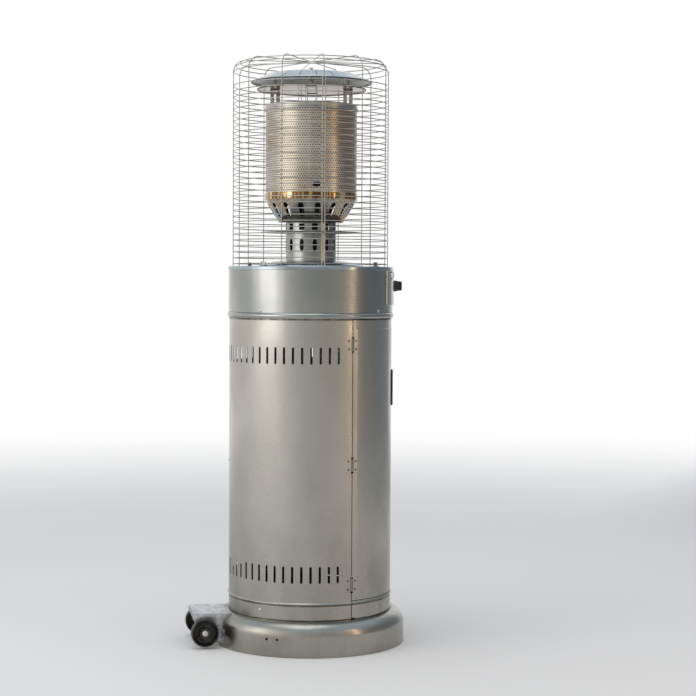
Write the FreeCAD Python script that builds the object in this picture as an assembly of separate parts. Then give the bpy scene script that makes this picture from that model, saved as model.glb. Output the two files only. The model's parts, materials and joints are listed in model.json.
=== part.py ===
import FreeCAD, Part
import math
import os

# Freestanding gas patio heater with a bottle cabinet, a ring burner and two reflectors.
# Millimetres. Z is up, the floor is z = 0 and the origin is where the heater's axis meets the floor.
# The front, with the door and the controls, faces -Y. The transport wheels are at the rear, +Y.
# Angles are in degrees from +X, so the front is -90 and the rear is 90.

V = FreeCAD.Vector
UP = V(0, 0, 1)
FRONT = -90.0
REAR = 90.0

# Driving dimensions

SHEET = 1.2
FLOOR_PAN_RADIUS = 224.0
PAN_SKIRT_HEIGHT = 44.0
DECK_Z = 78.0
HOUSING_RADIUS = 192.0
SHELL_TOP = 796.0
DOOR_HALF_ANGLE = 68.5
DOOR_BOTTOM = 121.5
DOOR_TOP = 765.0
SLOT_ROW_HEIGHTS = (183.3, 683.1)
SLOT_COUNT = 33
SLOT_STEP = 6.3
SLOT_LENGTH = 39.0
SLOT_WIDTH = 5.0
LOWER_BEAD_Z = 116.0
HEAD_BOTTOM = 766.5
HEAD_TOP = 887.0
HEAD_RADIUS = 193.9
SCREW_LEVELS = (98.0, 784.5)
CORNER_ANGLES = (-135.0, -45.0, 45.0, 135.0)
HINGE_LEVELS = (157.0, 432.0, 707.5)
TUBE_RADIUS = 59.4
TUBE_TOP = 990.0
SHIELD_RADIUS = 118.0
SHIELD_Z = 966.5
CUP_BOTTOM_RADIUS = 76.0
EMITTER_RADIUS = 109.0
CONE_TOP = 1044.0
RING_TOP = 1059.0
SCREEN_TOP = 1252.0
CAP_TOP = 1267.0
LOWER_REFLECTOR_RADIUS = 129.0
LOWER_REFLECTOR_Z = 1304.0
UPPER_REFLECTOR_RADIUS = 143.0
UPPER_REFLECTOR_Z = 1320.0
BRACKET_CIRCLE = 86.0
BRACKET_TURN = 80.0
GUARD_RADIUS = 183.8
GUARD_TOP = 1370.0
GUARD_RING_COUNT = 31
GUARD_RING_STEP = 13.9
GUARD_BARS = 12
WIRE = 2.2
WHEEL_RADIUS = 32.0
WHEEL_WIDTH = 20.0
WHEEL_TRACK = 160.0
AXLE_RADIUS = 4.0
AXLE_Y = 257.0
AXLE_Z = 37.0
KNOB_Z = 842.0
IGNITER_ANGLE = FRONT - 25.0
IGNITER_Z = 866.5
FLANGE_RADIUS = FLOOR_PAN_RADIUS + 1.65
STRIP_RADIUS = 187.4
BOTTLE_SEAT = 165.0
EAR_X = 62.0
FRAME_REACH = 283.0
HINGE_HALF = 14.7
NOTCH_HALF = 18.7
NOTCH_WIDTH = 3.6
PIN_CIRCLE = 190.0
PIN_RADIUS = 1.6
BARREL_RADIUS = 3.0
RIVET_RISE = 9.6
BORDER_ANGLE = 3.8
BORDER_DROP = 1.3
SHELL_GAP = 0.45
DOOR_GAP = 0.3
HANDLE_Z = 602.0
HANDLE_HALF_WIDTH = 50.0
HANDLE_HALF_HEIGHT = 42.0
CUP_HALF_WIDTH = 40.0
CUP_HALF_HEIGHT = 31.0
CATCH_Z = 432.0
INLET = V(52.0, -118.0, 0.0)
SPINDLE_RADIUS = 4.0
SLEEVE_RADIUS = 6.0
PILOT_ANGLE = 178.0
PILOT_Z = 1076.0
SHOULDER = 30.0
RUNNING_GAP = 0.05

# Flats that stand for round forms

SIDE_STEP = 6.3
SIDES = 40
BURNER_SIDES = 32
DOOR_FLATS = 22

# Sizes that follow from the driving ones

HOUSING_INNER = HOUSING_RADIUS - SHEET
PANEL_RADIUS = HEAD_RADIUS + 3.0
HEAD_INNER = HEAD_RADIUS - SHEET
HINGE_ANGLE = FRONT - DOOR_HALF_ANGLE
LATCH_ANGLE = FRONT + DOOR_HALF_ANGLE
AXLE_HALF = WHEEL_TRACK / 2.0 + WHEEL_WIDTH / 2.0 - 0.7
HEAD_FLOOR_TOP = SCREW_LEVELS[1] + 14.0 + SHEET
INJECTOR_Z = HEAD_TOP - 32.0
SPACER_FOOT = LOWER_REFLECTOR_Z + 0.4
UPPER_PLATE_Z = UPPER_REFLECTOR_Z + 20.0
FIRST_RING_Z = HEAD_TOP + 6.0
SIDE_TOP = FIRST_RING_Z + GUARD_RING_STEP * (GUARD_RING_COUNT - 1) + 5.0


# Shape helpers

def polar(radius, angle, z=0.0):
    turn = math.radians(angle)
    return V(radius * math.cos(turn), radius * math.sin(turn), z)


def even(start, end, count):
    return [start + (end - start) * i / count for i in range(count + 1)]


def corner_radius(radius, step):
    """Radius to the corners of flats of this many degrees that touch a round of the given radius."""
    return radius / math.cos(math.radians(step / 2.0))


def flat_face(points):
    """A flat face through points of which some may coincide, or nothing if fewer than three differ."""
    corners = []
    for point in points:
        if all((point - other).Length > 1e-6 for other in corners):
            corners.append(point)
    if len(corners) < 3:
        return []
    return [Part.Face(Part.makePolygon(corners + corners[:1]))]


def level_ring(start, end, z, angles):
    """A level face from one radius to the other, whole where one of them is zero."""
    faces = []
    for radius in sorted([start, end], reverse=True):
        if radius > 0.0:
            corners = [polar(radius, angle, z) for angle in angles[:-1]]
            faces.append(Part.Face(Part.makePolygon(corners + corners[:1])))
    face = faces[0].cut(faces[1:]).Faces[0] if len(faces) > 1 else faces[0]
    if end < start:
        face.reverse()
    return [face]


def flat_sided(profile, angles):
    """A turned form with flat sides between the angles, from a closed outline of (radius, height)."""
    faces = []
    full = angles[-1] - angles[0] > 359.9
    for a, b in zip(profile, profile[1:] + profile[:1]):
        if full and a[1] == b[1]:
            faces += level_ring(a[0], b[0], a[1], angles)
            continue
        for low, high in zip(angles, angles[1:]):
            faces += flat_face([polar(a[0], low, a[1]), polar(b[0], low, b[1]),
                                polar(b[0], high, b[1]), polar(a[0], high, a[1])])
    if not full:
        for angle in (angles[0], angles[-1]):
            faces += flat_face([polar(r, angle, z) for r, z in profile])
    solid = Part.Solid(Part.Shell(faces))
    if solid.Volume < 0:
        solid.reverse()
    return solid


def many_sided(profile, sides):
    """A closed flat-sided form about Z with one side centred on +X."""
    half = 180.0 / sides
    return flat_sided(profile, even(-half, 360.0 - half, sides))


def band(inner, outer, bottom, top):
    """Outline of a plain band between two radii and two heights."""
    return [(inner, bottom), (outer, bottom), (outer, top), (inner, top)]


def sector(inner, outer, bottom, top, start, end):
    """A curved plate between two radii, two heights and two angles, in flats of at most SIDE_STEP."""
    start, end = min(start, end), max(start, end)
    flats = max(1, math.ceil((end - start) / SIDE_STEP))
    return flat_sided(band(inner, outer, bottom, top), even(start, end, flats))


def block(x0, x1, y0, y1, z0, z1):
    return Part.makeBox(x1 - x0, y1 - y0, z1 - z0, V(x0, y0, z0))


def rod(radius, start, end):
    return Part.makeCylinder(radius, (end - start).Length, start, end - start)


def prism(points, thickness, direction):
    """Extrude a flat outline of vectors along a direction."""
    face = Part.Face(Part.makePolygon(points + points[:1]))
    return face.extrude(direction.normalize() * thickness)


def turn(shape, angle):
    """A copy turned about the heater's axis."""
    copy = shape.copy()
    copy.rotate(V(0, 0, 0), UP, angle)
    return copy


def lift(shape, z):
    copy = shape.copy()
    copy.translate(V(0, 0, z))
    return copy


def seat(form, a, b, along, z):
    """Stand a form that rises along +X from x = 0 on the flat between two plan points."""
    run = (b - a).normalize()
    spot = a + run * along
    copy = form.copy()
    copy.rotate(V(0, 0, 0), UP, math.degrees(math.atan2(run.y, run.x)) - 90.0)
    copy.translate(V(spot.x, spot.y, z))
    return copy


def flat_at(angles, angle):
    """The flat of a turned sheet that holds this angle, as its two end angles."""
    angle = angles[0] + (angle - angles[0]) % 360.0
    for low, high in zip(angles, angles[1:]):
        if low <= angle < high:
            return [low, high]


def seat_at(form, radius, angles, angle, z):
    """Stand a form on the flat of a turned sheet at this angle and height."""
    low, high = flat_at(angles, angle)
    middle = (low + high) / 2.0
    apothem = radius * math.cos(math.radians((high - low) / 2.0))
    a, b = polar(radius, low), polar(radius, high)
    along = (b - a).Length / 2.0 + apothem * math.tan(math.radians(angle - middle))
    return seat(form, a, b, along, z)


def fused(shapes):
    return shapes[0].multiFuse(shapes[1:]).removeSplitter()


def group(shapes):
    return Part.makeCompound(shapes)


def pipe(points, radius):
    """A six-sided pipe along straight runs with mitred corners."""
    path = Part.Wire(Part.makePolygon(points))
    across = (points[1] - points[0]).normalize()
    side = across.cross(V(0.3, 0.5, 0.8)).normalize()
    up = across.cross(side)
    ring = []
    for i in range(6):
        a = math.radians(60.0 * i)
        ring.append(points[0] + side * (radius * math.cos(a)) + up * (radius * math.sin(a)))
    section = Part.makePolygon(ring + ring[:1])
    return path.makePipeShell([section], True, False, 1)


# Floor pan and transport wheels

def pan_wall(offset):
    """Skirt, rounded shoulder and flank of the pan, as (radius, height) up to the deck."""
    rim = FLOOR_PAN_RADIUS - offset
    return [(rim, 0.0), (rim, PAN_SKIRT_HEIGHT), (rim - 3.4, PAN_SKIRT_HEIGHT + 11.0),
            (rim - 11.0, PAN_SKIRT_HEIGHT + 21.5), (201.0 - offset * 0.4, DECK_Z - offset)]


def base_pan():
    """Pressed floor pan with a rounded shoulder, a closed deck and a hem turned in at the floor."""
    outer = pan_wall(0.0)
    inner = pan_wall(SHEET)
    hem = FLOOR_PAN_RADIUS - 9.0
    profile = outer + [(BOTTLE_SEAT, DECK_Z), (0.0, DECK_Z), (0.0, DECK_Z - SHEET)]
    profile += [inner[4], inner[3], inner[1], (FLOOR_PAN_RADIUS - SHEET, SHEET), (hem, SHEET), (hem, 0.0)]
    pan = flat_sided(profile, PAN_ANGLES)
    hole = many_sided([(0.0, 0.0), (3.0, 0.0), (3.0, 20.0), (0.0, 20.0)], 8)
    hole.rotate(V(0, 0, 0), V(0, 1, 0), 90)
    hole.translate(V(FLOOR_PAN_RADIUS - 10.0, 0, 40.0))
    return pan.cut([turn(hole, REAR + spread) for spread in (-62.2, -55.6, 55.6, 62.2)] + [bracket_screws()])


def flange_angles(side):
    """Start and end of the bracket's fixing flange on the pan's skirt, for the side of +X or -X."""
    start = REAR - side * math.degrees(math.asin((EAR_X - 1.0) / FLOOR_PAN_RADIUS))
    return sorted([start, start - side * 3.9])


def wheel_bracket():
    """Folded sheet: a top plate over the wheels, two ears for the axle and two fixing flanges."""
    skin = 1.5
    wall = pan_wall(-0.15)
    ear_edge = [V(0, math.sqrt(r * r - (EAR_X - skin) ** 2), z) for r, z in wall[1:]]
    ear_edge[-1].z = DECK_Z
    outline = ear_edge + [V(0, FRAME_REACH, DECK_Z), V(0, FRAME_REACH, DECK_Z - 12),
                          V(0, AXLE_Y + 11, AXLE_Z - 4), V(0, AXLE_Y + 5, AXLE_Z - 11),
                          V(0, AXLE_Y - 5, AXLE_Z - 11), V(0, ear_edge[0].y, 12.0)]
    pieces = []
    for side in (-1, 1):
        ear = prism(outline, skin, V(1, 0, 0))
        ear.translate(V(EAR_X - skin if side > 0 else -EAR_X, 0, 0))
        pieces.append(ear)
        pieces.append(sector(FLOOR_PAN_RADIUS + 0.15, FLANGE_RADIUS, 12.0, PAN_SKIRT_HEIGHT,
                             *flange_angles(side)))
    top = block(-EAR_X, EAR_X, 150.0, FRAME_REACH, DECK_Z - skin, DECK_Z)
    top = top.cut(flat_sided([(0.0, DECK_Z - 10.0), (202.6, DECK_Z - 10.0), (202.6, DECK_Z + 10.0),
                              (0.0, DECK_Z + 10.0)], PAN_ANGLES))
    pieces.append(top)
    body = fused(pieces)
    hole = rod(AXLE_RADIUS, V(-90, AXLE_Y, AXLE_Z), V(90, AXLE_Y, AXLE_Z))
    return body.cut([hole, bracket_screws()])


def bracket_screws():
    """Two screws through each flange and the skirt behind it."""
    screws = []
    for side in (-1, 1):
        angles = flange_angles(side)
        for z in (20.0, 36.0):
            screws.append(seat_at(domed_screw(5.0, 3.6), FLANGE_RADIUS, angles, sum(angles) / 2.0, z))
    return group(screws)


def domed_screw(head_radius, stem):
    """A low domed head that rises along +X, with a stem into the sheets behind it."""
    shank = head_radius * 0.4
    profile = [(0.0, -stem), (shank, -stem), (shank, 0.0), (head_radius, 0.0),
               (head_radius * 0.6, head_radius * 0.5), (0.0, head_radius * 0.6)]
    screw = many_sided(profile, 6)
    screw.rotate(V(0, 0, 0), V(0, 1, 0), 90)
    return screw


def wheel():
    """Moulded wheel on the X axis, dished on its outer side, with a boss and four ribs."""
    half = WHEEL_WIDTH / 2.0
    boss = 11.0
    bore = AXLE_RADIUS + RUNNING_GAP
    profile = [(0.0, -half), (boss, -half), (boss, -half + 4.0), (27.0, -half + 4.0), (28.5, -half),
               (WHEEL_RADIUS, -half), (WHEEL_RADIUS, half), (28.8, half), (26.0, -2.5),
               (boss, -2.5), (boss, half - 1.0), (0.0, half - 1.0)]
    rib = block(boss - 2.0, 27.0, -1.0, 1.0, -3.0, 4.0)
    body = fused([many_sided(profile, 24)] + [turn(rib, 35.0 + 90.0 * i) for i in range(4)])
    body = body.cut(Part.makeCylinder(bore, 2.0 * WHEEL_WIDTH, V(0, 0, -WHEEL_WIDTH)))
    body.rotate(V(0, 0, 0), V(0, 1, 0), 90)
    return body


def placed_wheel(side):
    part = wheel()
    if side < 0:
        part.rotate(V(0, 0, 0), UP, 180)
    part.translate(V(side * WHEEL_TRACK / 2.0, AXLE_Y, AXLE_Z))
    return part


def axle_spacers():
    """Sleeves between the ears and the wheels."""
    snug = corner_radius(AXLE_RADIUS, 45.0)
    length = WHEEL_TRACK / 2.0 - WHEEL_WIDTH / 2.0 - EAR_X - 0.4
    sleeves = []
    for side in (-1, 1):
        sleeve = many_sided([(snug, 0.0), (6.5, 0.0), (6.5, length), (snug, length)], 8)
        sleeve.rotate(V(0, 0, 0), V(0, 1, 0), 90.0 * side)
        sleeve.translate(V(side * EAR_X, AXLE_Y, AXLE_Z))
        sleeves.append(sleeve)
    return group(sleeves)


def wheel_axle():
    return rod(AXLE_RADIUS, V(-AXLE_HALF, AXLE_Y, AXLE_Z), V(AXLE_HALF, AXLE_Y, AXLE_Z))


def axle_caps():
    """Push-on caps that keep the wheels on the axle."""
    caps = []
    for side in (-1, 1):
        cap = many_sided([(0.0, 0.0), (7.0, 0.0), (7.0, 2.6), (4.6, 4.0), (0.0, 4.2)], 10)
        cap.rotate(V(0, 0, 0), V(0, 1, 0), 90.0 * side)
        cap.translate(V(side * AXLE_HALF, AXLE_Y, AXLE_Z))
        caps.append(cap)
    return group(caps)


# Bottle cabinet

PAN_ANGLES = even(0.0, 360.0, SIDES)
HALF_ROW = SLOT_STEP * SLOT_COUNT / 2.0
SHELL_ANGLES = [LATCH_ANGLE + SHELL_GAP] + even(REAR - HALF_ROW, REAR + HALF_ROW, SLOT_COUNT)
SHELL_ANGLES.append(HINGE_ANGLE + 360.0 - SHELL_GAP)
APRON_ANGLES = even(HINGE_ANGLE + 0.15, LATCH_ANGLE - 0.15, DOOR_FLATS)
DOOR_FIELD = even(HINGE_ANGLE + BORDER_ANGLE, LATCH_ANGLE - BORDER_ANGLE, DOOR_FLATS)
DRUM_ANGLES = even(-180.0 / SIDES, 360.0 - 180.0 / SIDES, SIDES)


def sheet_angles(angle):
    """Corners of the flats of the lower sheet at this angle, the apron in front and the shell behind."""
    return APRON_ANGLES if angle < 0.0 else SHELL_ANGLES


def bead_outline(bottom, top):
    """Sheet section with an outward bead near its foot."""
    r = HOUSING_RADIUS
    z = LOWER_BEAD_Z
    return [(r - SHEET, bottom), (r, bottom), (r, z - 3.0), (r + 2.2, z - 0.8), (r + 2.2, z + 0.8),
            (r, z + 3.0), (r, top), (r - SHEET, top)]


def slot_cutter():
    """Narrow upright vent slot, cut through the sheet along +X."""
    half = SLOT_LENGTH / 2.0
    wide = math.degrees(SLOT_WIDTH / 2.0 / HOUSING_RADIUS)
    return sector(HOUSING_RADIUS - 8.0, HOUSING_RADIUS + 8.0, -half, half, -wide, wide)


def hinge_notches():
    """Openings round the three hinge barrels, at the hinge edge."""
    cut = block(180.0, 200.0, -NOTCH_WIDTH, NOTCH_WIDTH, -NOTCH_HALF, NOTCH_HALF)
    return [turn(lift(cut, z), HINGE_ANGLE) for z in HINGE_LEVELS]


def rear_shell():
    """Wrap-round sheet with two rows of slots, one slot in each flat."""
    shell = flat_sided(bead_outline(DECK_Z, SHELL_TOP), SHELL_ANGLES)
    cutters = hinge_notches() + [housing_screws(), shell_rivets()]
    slot = slot_cutter()
    for level in SLOT_ROW_HEIGHTS:
        for i in range(SLOT_COUNT):
            angle = REAR + SLOT_STEP * (i - (SLOT_COUNT - 1) / 2.0)
            cutters.append(turn(lift(slot, level), angle))
    return shell.cut(cutters)


def lower_apron():
    """Fixed sheet under the door, notched at its foot on the hinge side."""
    apron = flat_sided(bead_outline(DECK_Z, DOOR_BOTTOM - 1.5), APRON_ANGLES)
    notch = sector(185.0, 197.0, DECK_Z - 1.0, DECK_Z + 3.5, HINGE_ANGLE, HINGE_ANGLE + 2.6)
    return apron.cut([notch, housing_screws()])


def base_tabs():
    """Angle tabs on the deck that the lower screws hold."""
    reach, rise = 19.0, 34.0
    wall = HOUSING_INNER - SHEET
    profile = [(HOUSING_INNER - reach, DECK_Z), (HOUSING_INNER, DECK_Z), (HOUSING_INNER, DECK_Z + rise),
               (wall, DECK_Z + rise), (wall, DECK_Z + SHEET), (HOUSING_INNER - reach, DECK_Z + SHEET)]
    screws = housing_screws()
    return group([flat_sided(profile, flat_at(sheet_angles(angle), angle)).cut(screws)
                  for angle in CORNER_ANGLES])


def door_section():
    """Plan outline of the door skin: a round field with a bevelled border at each side."""
    border = [HINGE_ANGLE + DOOR_GAP, LATCH_ANGLE - DOOR_GAP]
    points = []
    for skin in (0.0, SHEET):
        edge = HOUSING_RADIUS - BORDER_DROP - skin
        row = [polar(edge, border[0])]
        row += [polar(HOUSING_RADIUS - skin, angle) for angle in DOOR_FIELD]
        row.append(polar(edge, border[1]))
        points += row if skin == 0.0 else row[::-1]
    return Part.Face(Part.makePolygon(points + points[:1]))


def door():
    skin = door_section().extrude(V(0, 0, DOOR_TOP - DOOR_BOTTOM))
    skin.translate(V(0, 0, DOOR_BOTTOM))
    step = HOUSING_RADIUS - 0.6
    cuts = hinge_notches()
    for bottom, top in ((DOOR_BOTTOM - 1.0, 126.0), (742.7, DOOR_TOP + 1.0)):
        cuts.append(sector(step, HOUSING_RADIUS + 5.0, bottom, top, HINGE_ANGLE + 1.0, LATCH_ANGLE - 1.0))
    hole_w, hole_h = CUP_HALF_WIDTH + 0.5, CUP_HALF_HEIGHT + 0.5
    cuts.append(block(-hole_w, hole_w, -200.0, -150.0, HANDLE_Z - hole_h, HANDLE_Z + hole_h))
    return skin.cut(cuts + [door_rivets()])


def door_handle():
    """Recessed pull: a bezel on the door and a cup behind it, with a lip to pull on."""
    depth, wall = 24.0, 2.0
    wide = math.degrees(HANDLE_HALF_WIDTH / HOUSING_RADIUS)
    low, high = HANDLE_Z - CUP_HALF_HEIGHT, HANDLE_Z + CUP_HALF_HEIGHT
    back = HOUSING_INNER - depth
    bezel = sector(corner_radius(HOUSING_RADIUS, SIDE_STEP), HOUSING_RADIUS + 3.2,
                   HANDLE_Z - HANDLE_HALF_HEIGHT, HANDLE_Z + HANDLE_HALF_HEIGHT, FRONT - wide, FRONT + wide)
    under_bezel = sector(back - 10.0, HOUSING_RADIUS + 2.0, low, high, FRONT - wide, FRONT + wide)
    cup = block(-CUP_HALF_WIDTH, CUP_HALF_WIDTH, -HOUSING_RADIUS - 6.0, -back, low, high).common(under_bezel)
    pocket = block(-CUP_HALF_WIDTH + wall, CUP_HALF_WIDTH - wall, -HOUSING_RADIUS - 6.0, -back - wall,
                   low + wall, high - wall)
    lip_wide = math.degrees(math.asin((CUP_HALF_WIDTH - wall) / HOUSING_RADIUS))
    lip = sector(HOUSING_RADIUS - 1.0, HOUSING_RADIUS + 2.0, HANDLE_Z + 12.0, high, FRONT - lip_wide,
                 FRONT + lip_wide)
    return fused([fused([bezel, cup]).cut(pocket), lip])


def knuckle(low, high):
    """Eight-sided barrel on the hinge line."""
    barrel = many_sided([(0.0, low), (BARREL_RADIUS, low), (BARREL_RADIUS, high), (0.0, high)], 8)
    barrel.translate(V(PIN_CIRCLE, 0, 0))
    return barrel


def leaf_plate(a, b):
    """Hinge leaf whose outer side lies between two plan points, at angle zero."""
    along = (b - a).normalize()
    inward = V(-along.y, along.x, 0)
    if inward.x > 0:
        inward = inward * -1
    leaf = prism([a, b, b + inward * 1.5, a + inward * 1.5], 2 * HINGE_HALF, UP)
    leaf.translate(V(0, 0, -HINGE_HALF))
    return leaf


def hinge_fixed_leaf():
    """Leaf behind the shell and the two end knuckles, at angle zero, with the door towards +Y."""
    middle = HINGE_HALF / 3.0 + 0.3
    last_flat = SHELL_ANGLES[-1] - SHELL_ANGLES[-2]
    a, b = polar(HOUSING_INNER, -SHELL_GAP), polar(HOUSING_INNER, -SHELL_GAP - last_flat)
    leaf = leaf_plate(a, a + (b - a).normalize() * 13.0)
    leaf = leaf.cut(block(180.0, 200.0, -4.2, 4.0, -middle, middle))
    body = fused([leaf, knuckle(-HINGE_HALF, -middle), knuckle(middle, HINGE_HALF)])
    snug = corner_radius(PIN_RADIUS, 45.0)
    bore = many_sided([(0.0, -30.0), (snug, -30.0), (snug, 30.0), (0.0, 30.0)], 8)
    bore.translate(V(PIN_CIRCLE, 0, 0))
    return body.cut(bore)


def hinge_door_leaf():
    """Leaf behind the door's border and the middle knuckle, at angle zero."""
    a, b = polar(HOUSING_INNER - BORDER_DROP, DOOR_GAP), polar(HOUSING_INNER, BORDER_ANGLE)
    leaf = leaf_plate(a - (b - a).normalize() * 1.0, b)
    middle = HINGE_HALF / 3.0
    windows = [block(180.0, 200.0, -4.0, 4.2, -HINGE_HALF - 1.0, -middle + 0.3),
               block(180.0, 200.0, -4.0, 4.2, middle - 0.3, HINGE_HALF + 1.0)]
    bore = Part.makeCylinder(PIN_RADIUS + RUNNING_GAP, 60.0, V(PIN_CIRCLE, 0, -30.0))
    return fused([leaf.cut(windows), knuckle(-middle + 0.15, middle - 0.15)]).cut(bore)


def at_hinges(shape, holes=None):
    """The same piece at each hinge, drilled where holes are given."""
    pieces = [turn(lift(shape, z), HINGE_ANGLE) for z in HINGE_LEVELS]
    return group([piece.cut(holes) if holes else piece for piece in pieces])


def hinge_pin():
    return Part.makeCylinder(PIN_RADIUS, 2 * HINGE_HALF, V(PIN_CIRCLE, 0, -HINGE_HALF))


def rivets(a, b, along):
    """Domed rivets through a sheet and the hinge leaf behind it, on the flat between two plan points."""
    profile = [(0.0, -2.7), (1.2, -2.7), (1.2, 0.0), (2.4, 0.0), (1.5, 0.9), (0.0, 1.1)]
    rivet = many_sided(profile, 5)
    rivet.rotate(V(0, 0, 0), V(0, 1, 0), 90)
    levels = [z + rise for z in HINGE_LEVELS for rise in (-RIVET_RISE, RIVET_RISE)]
    return group([seat(rivet, a, b, along, z) for z in levels])


def shell_rivets():
    a, b = [polar(HOUSING_RADIUS, angle) for angle in SHELL_ANGLES[-2:]]
    return rivets(a, b, (b - a).Length - 9.0)


def door_rivets():
    edge = polar(HOUSING_RADIUS - BORDER_DROP, HINGE_ANGLE + DOOR_GAP)
    return rivets(edge, polar(HOUSING_RADIUS, DOOR_FIELD[0]), 8.0)


def door_stop_strip():
    """Upright strip behind the latch edge that the door closes against, trimmed to the shell."""
    low, high = DOOR_BOTTOM + 3.0, DOOR_TOP - 3.0
    flat = sector(STRIP_RADIUS, STRIP_RADIUS + 1.4, low, high, LATCH_ANGLE - 4.0, LATCH_ANGLE + 4.0)
    root = sector(STRIP_RADIUS + 1.0, HOUSING_RADIUS, low, high, LATCH_ANGLE + 1.2, LATCH_ANGLE + 4.0)
    shell = flat_sided(band(HOUSING_INNER, HOUSING_RADIUS + 5.0, low - 1.0, high + 1.0), SHELL_ANGLES[:2])
    return fused([flat, root]).cut(shell)


def magnet_catch():
    """Magnet block with a foot on the inner side of the stop strip."""
    body = sector(179.0, 189.5, CATCH_Z - 20.0, CATCH_Z + 20.0, LATCH_ANGLE - 9.0, LATCH_ANGLE - 4.4)
    foot = flat_sided(band(183.8, STRIP_RADIUS, CATCH_Z - 20.0, CATCH_Z + 20.0),
                      even(LATCH_ANGLE - 8.0, LATCH_ANGLE, 2))
    return fused([body, foot])


def strike_plate():
    """Steel plate in the door's last flat, opposite the magnet."""
    return flat_sided(band(189.9, HOUSING_INNER, CATCH_Z - 22.0, CATCH_Z + 22.0), DOOR_FIELD[-2:])


def strap_bracket():
    """Slotted plate inside the rear wall for a bottle strap."""
    low, high = CATCH_Z - 18.0, CATCH_Z + 18.0
    reach = 2.5 * SLOT_STEP
    flats = even(REAR - reach, REAR + reach, 5)
    plate = flat_sided(band(HOUSING_INNER - 2.0, HOUSING_INNER, low, high), flats)
    loops = [sector(178.0, HOUSING_INNER - 2.0, low, high, REAR + side * (reach - 0.6), REAR + side * reach)
             for side in (-1, 1)]
    gap = sector(170.0, 185.5, CATCH_Z - 13.0, CATCH_Z + 13.0, REAR - 20.0, REAR + 20.0)
    return fused([plate] + loops).cut([gap, housing_screws()])


def housing_screws():
    """Domed screws through the sheets: four low, four at the head and one at the strap bracket."""
    head = 3.6
    screws = []
    for angle in CORNER_ANGLES:
        low = domed_screw(head, 2.4)
        screws.append(seat_at(low, HOUSING_RADIUS, sheet_angles(angle), angle, SCREW_LEVELS[0]))
        high = domed_screw(head, 6.2)
        screws.append(seat_at(high, HEAD_RADIUS, DRUM_ANGLES, angle, SCREW_LEVELS[1]))
    screws.append(seat_at(domed_screw(head, 3.2), HOUSING_RADIUS, SHELL_ANGLES, REAR, CATCH_Z))
    return group(screws)


# Head with the controls

def head_floor():
    """Plate that closes the cabinet, with a down-turned tab behind each head screw."""
    level = SCREW_LEVELS[1] + 14.0
    rim = HOUSING_INNER - 0.6
    pieces = [many_sided([(0.0, level), (rim, level), (rim, level + SHEET), (0.0, level + SHEET)], SIDES)]
    for angle in CORNER_ANGLES:
        pieces.append(turn(block(rim - 2.5, rim - 1.0, -12.0, 12.0, level - 26.0, level), angle))
    inlet = many_sided([(0.0, level - 9.0), (5.2, level - 9.0), (5.2, level + 9.0), (0.0, level + 9.0)], 8)
    inlet.translate(V(INLET.x, INLET.y, 0))
    return fused(pieces).cut([inlet, housing_screws()])


def head_drum():
    """Sheet drum with a rolled bead at its foot."""
    r, t = HEAD_RADIUS, SHEET
    profile = [(r - t, HEAD_BOTTOM), (r, HEAD_BOTTOM), (r + 2.8, HEAD_BOTTOM + 3.0),
               (r + 2.8, HEAD_BOTTOM + 10.0), (r, HEAD_BOTTOM + 13.5), (r, HEAD_TOP - SHEET),
               (r - t, HEAD_TOP - SHEET)]
    return flat_sided(profile, DRUM_ANGLES).cut(control_holes() + [housing_screws()])


def control_holes():
    """Holes through the drum and the panel for the knob's spindle and the igniter."""
    knob = many_sided([(0.0, 180.0), (6.0, 180.0), (6.0, 210.0), (0.0, 210.0)], 8)
    knob.rotate(V(0, 0, 0), V(0, 1, 0), 90)
    igniter = many_sided([(0.0, 180.0), (9.4, 180.0), (9.4, 210.0), (0.0, 210.0)], 12)
    return [lift(turn(knob, FRONT), KNOB_Z), at_igniter(igniter)]


def head_top():
    """Pressed top plate: a rim turned down over the drum and a raised centre round the burner tube."""
    rim = HEAD_RADIUS + 0.2 + SHEET
    foot = TUBE_RADIUS + 0.4
    profile = [(foot, HEAD_TOP - SHEET), (rim - SHEET, HEAD_TOP - SHEET), (rim - SHEET, HEAD_TOP - 9.0),
               (rim, HEAD_TOP - 9.0), (rim, HEAD_TOP - 1.2), (rim - 1.2, HEAD_TOP),
               (118.0, HEAD_TOP), (115.0, HEAD_TOP + 3.5), (84.0, HEAD_TOP + 12.0), (foot, HEAD_TOP + 14.0)]
    return flat_sided(profile, DRUM_ANGLES)


def control_panel():
    """Curved panel on the flats of the drum."""
    low, high, half = 797.0, HEAD_TOP - 9.5, 34.6
    flats = [angle for angle in DRUM_ANGLES if abs(angle - 360.0 - FRONT) < half + 360.0 / SIDES]
    panel = flat_sided(band(HEAD_RADIUS, PANEL_RADIUS, low, high), flats)
    reach = PANEL_RADIUS + 100.0
    wedge = prism([V(0, 0, low), polar(reach, FRONT - half, low), polar(reach, FRONT + half, low)],
                  high - low, UP)
    return panel.common(wedge).cut(control_holes())


def control_knob():
    """Tapered knob with a grip bar and a hollow back, on the valve spindle."""
    back = PANEL_RADIUS + 3.8
    profile = [(0.0, 0.0), (13.0, 0.0), (13.5, 2.0), (11.5, 12.0), (10.5, 18.5), (9.5, 19.6), (0.0, 19.6)]
    body = many_sided(profile, 20)
    flats = [block(3.2, 20.0, -20.0, 20.0, 10.0, 30.0), block(-20.0, -3.2, -20.0, 20.0, 10.0, 30.0)]
    bore = Part.makeCylinder(SPINDLE_RADIUS, 13.0, V(0, 0, 0))
    hollow = many_sided([(0.0, -1.0), (10.0, -1.0), (10.0, 3.0), (0.0, 3.0)], 8)
    body = body.cut(flats + [bore, hollow])
    body.rotate(V(0, 0, 0), V(1, 0, 0), 90)
    body.translate(V(0, -back, KNOB_Z))
    return body


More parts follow.
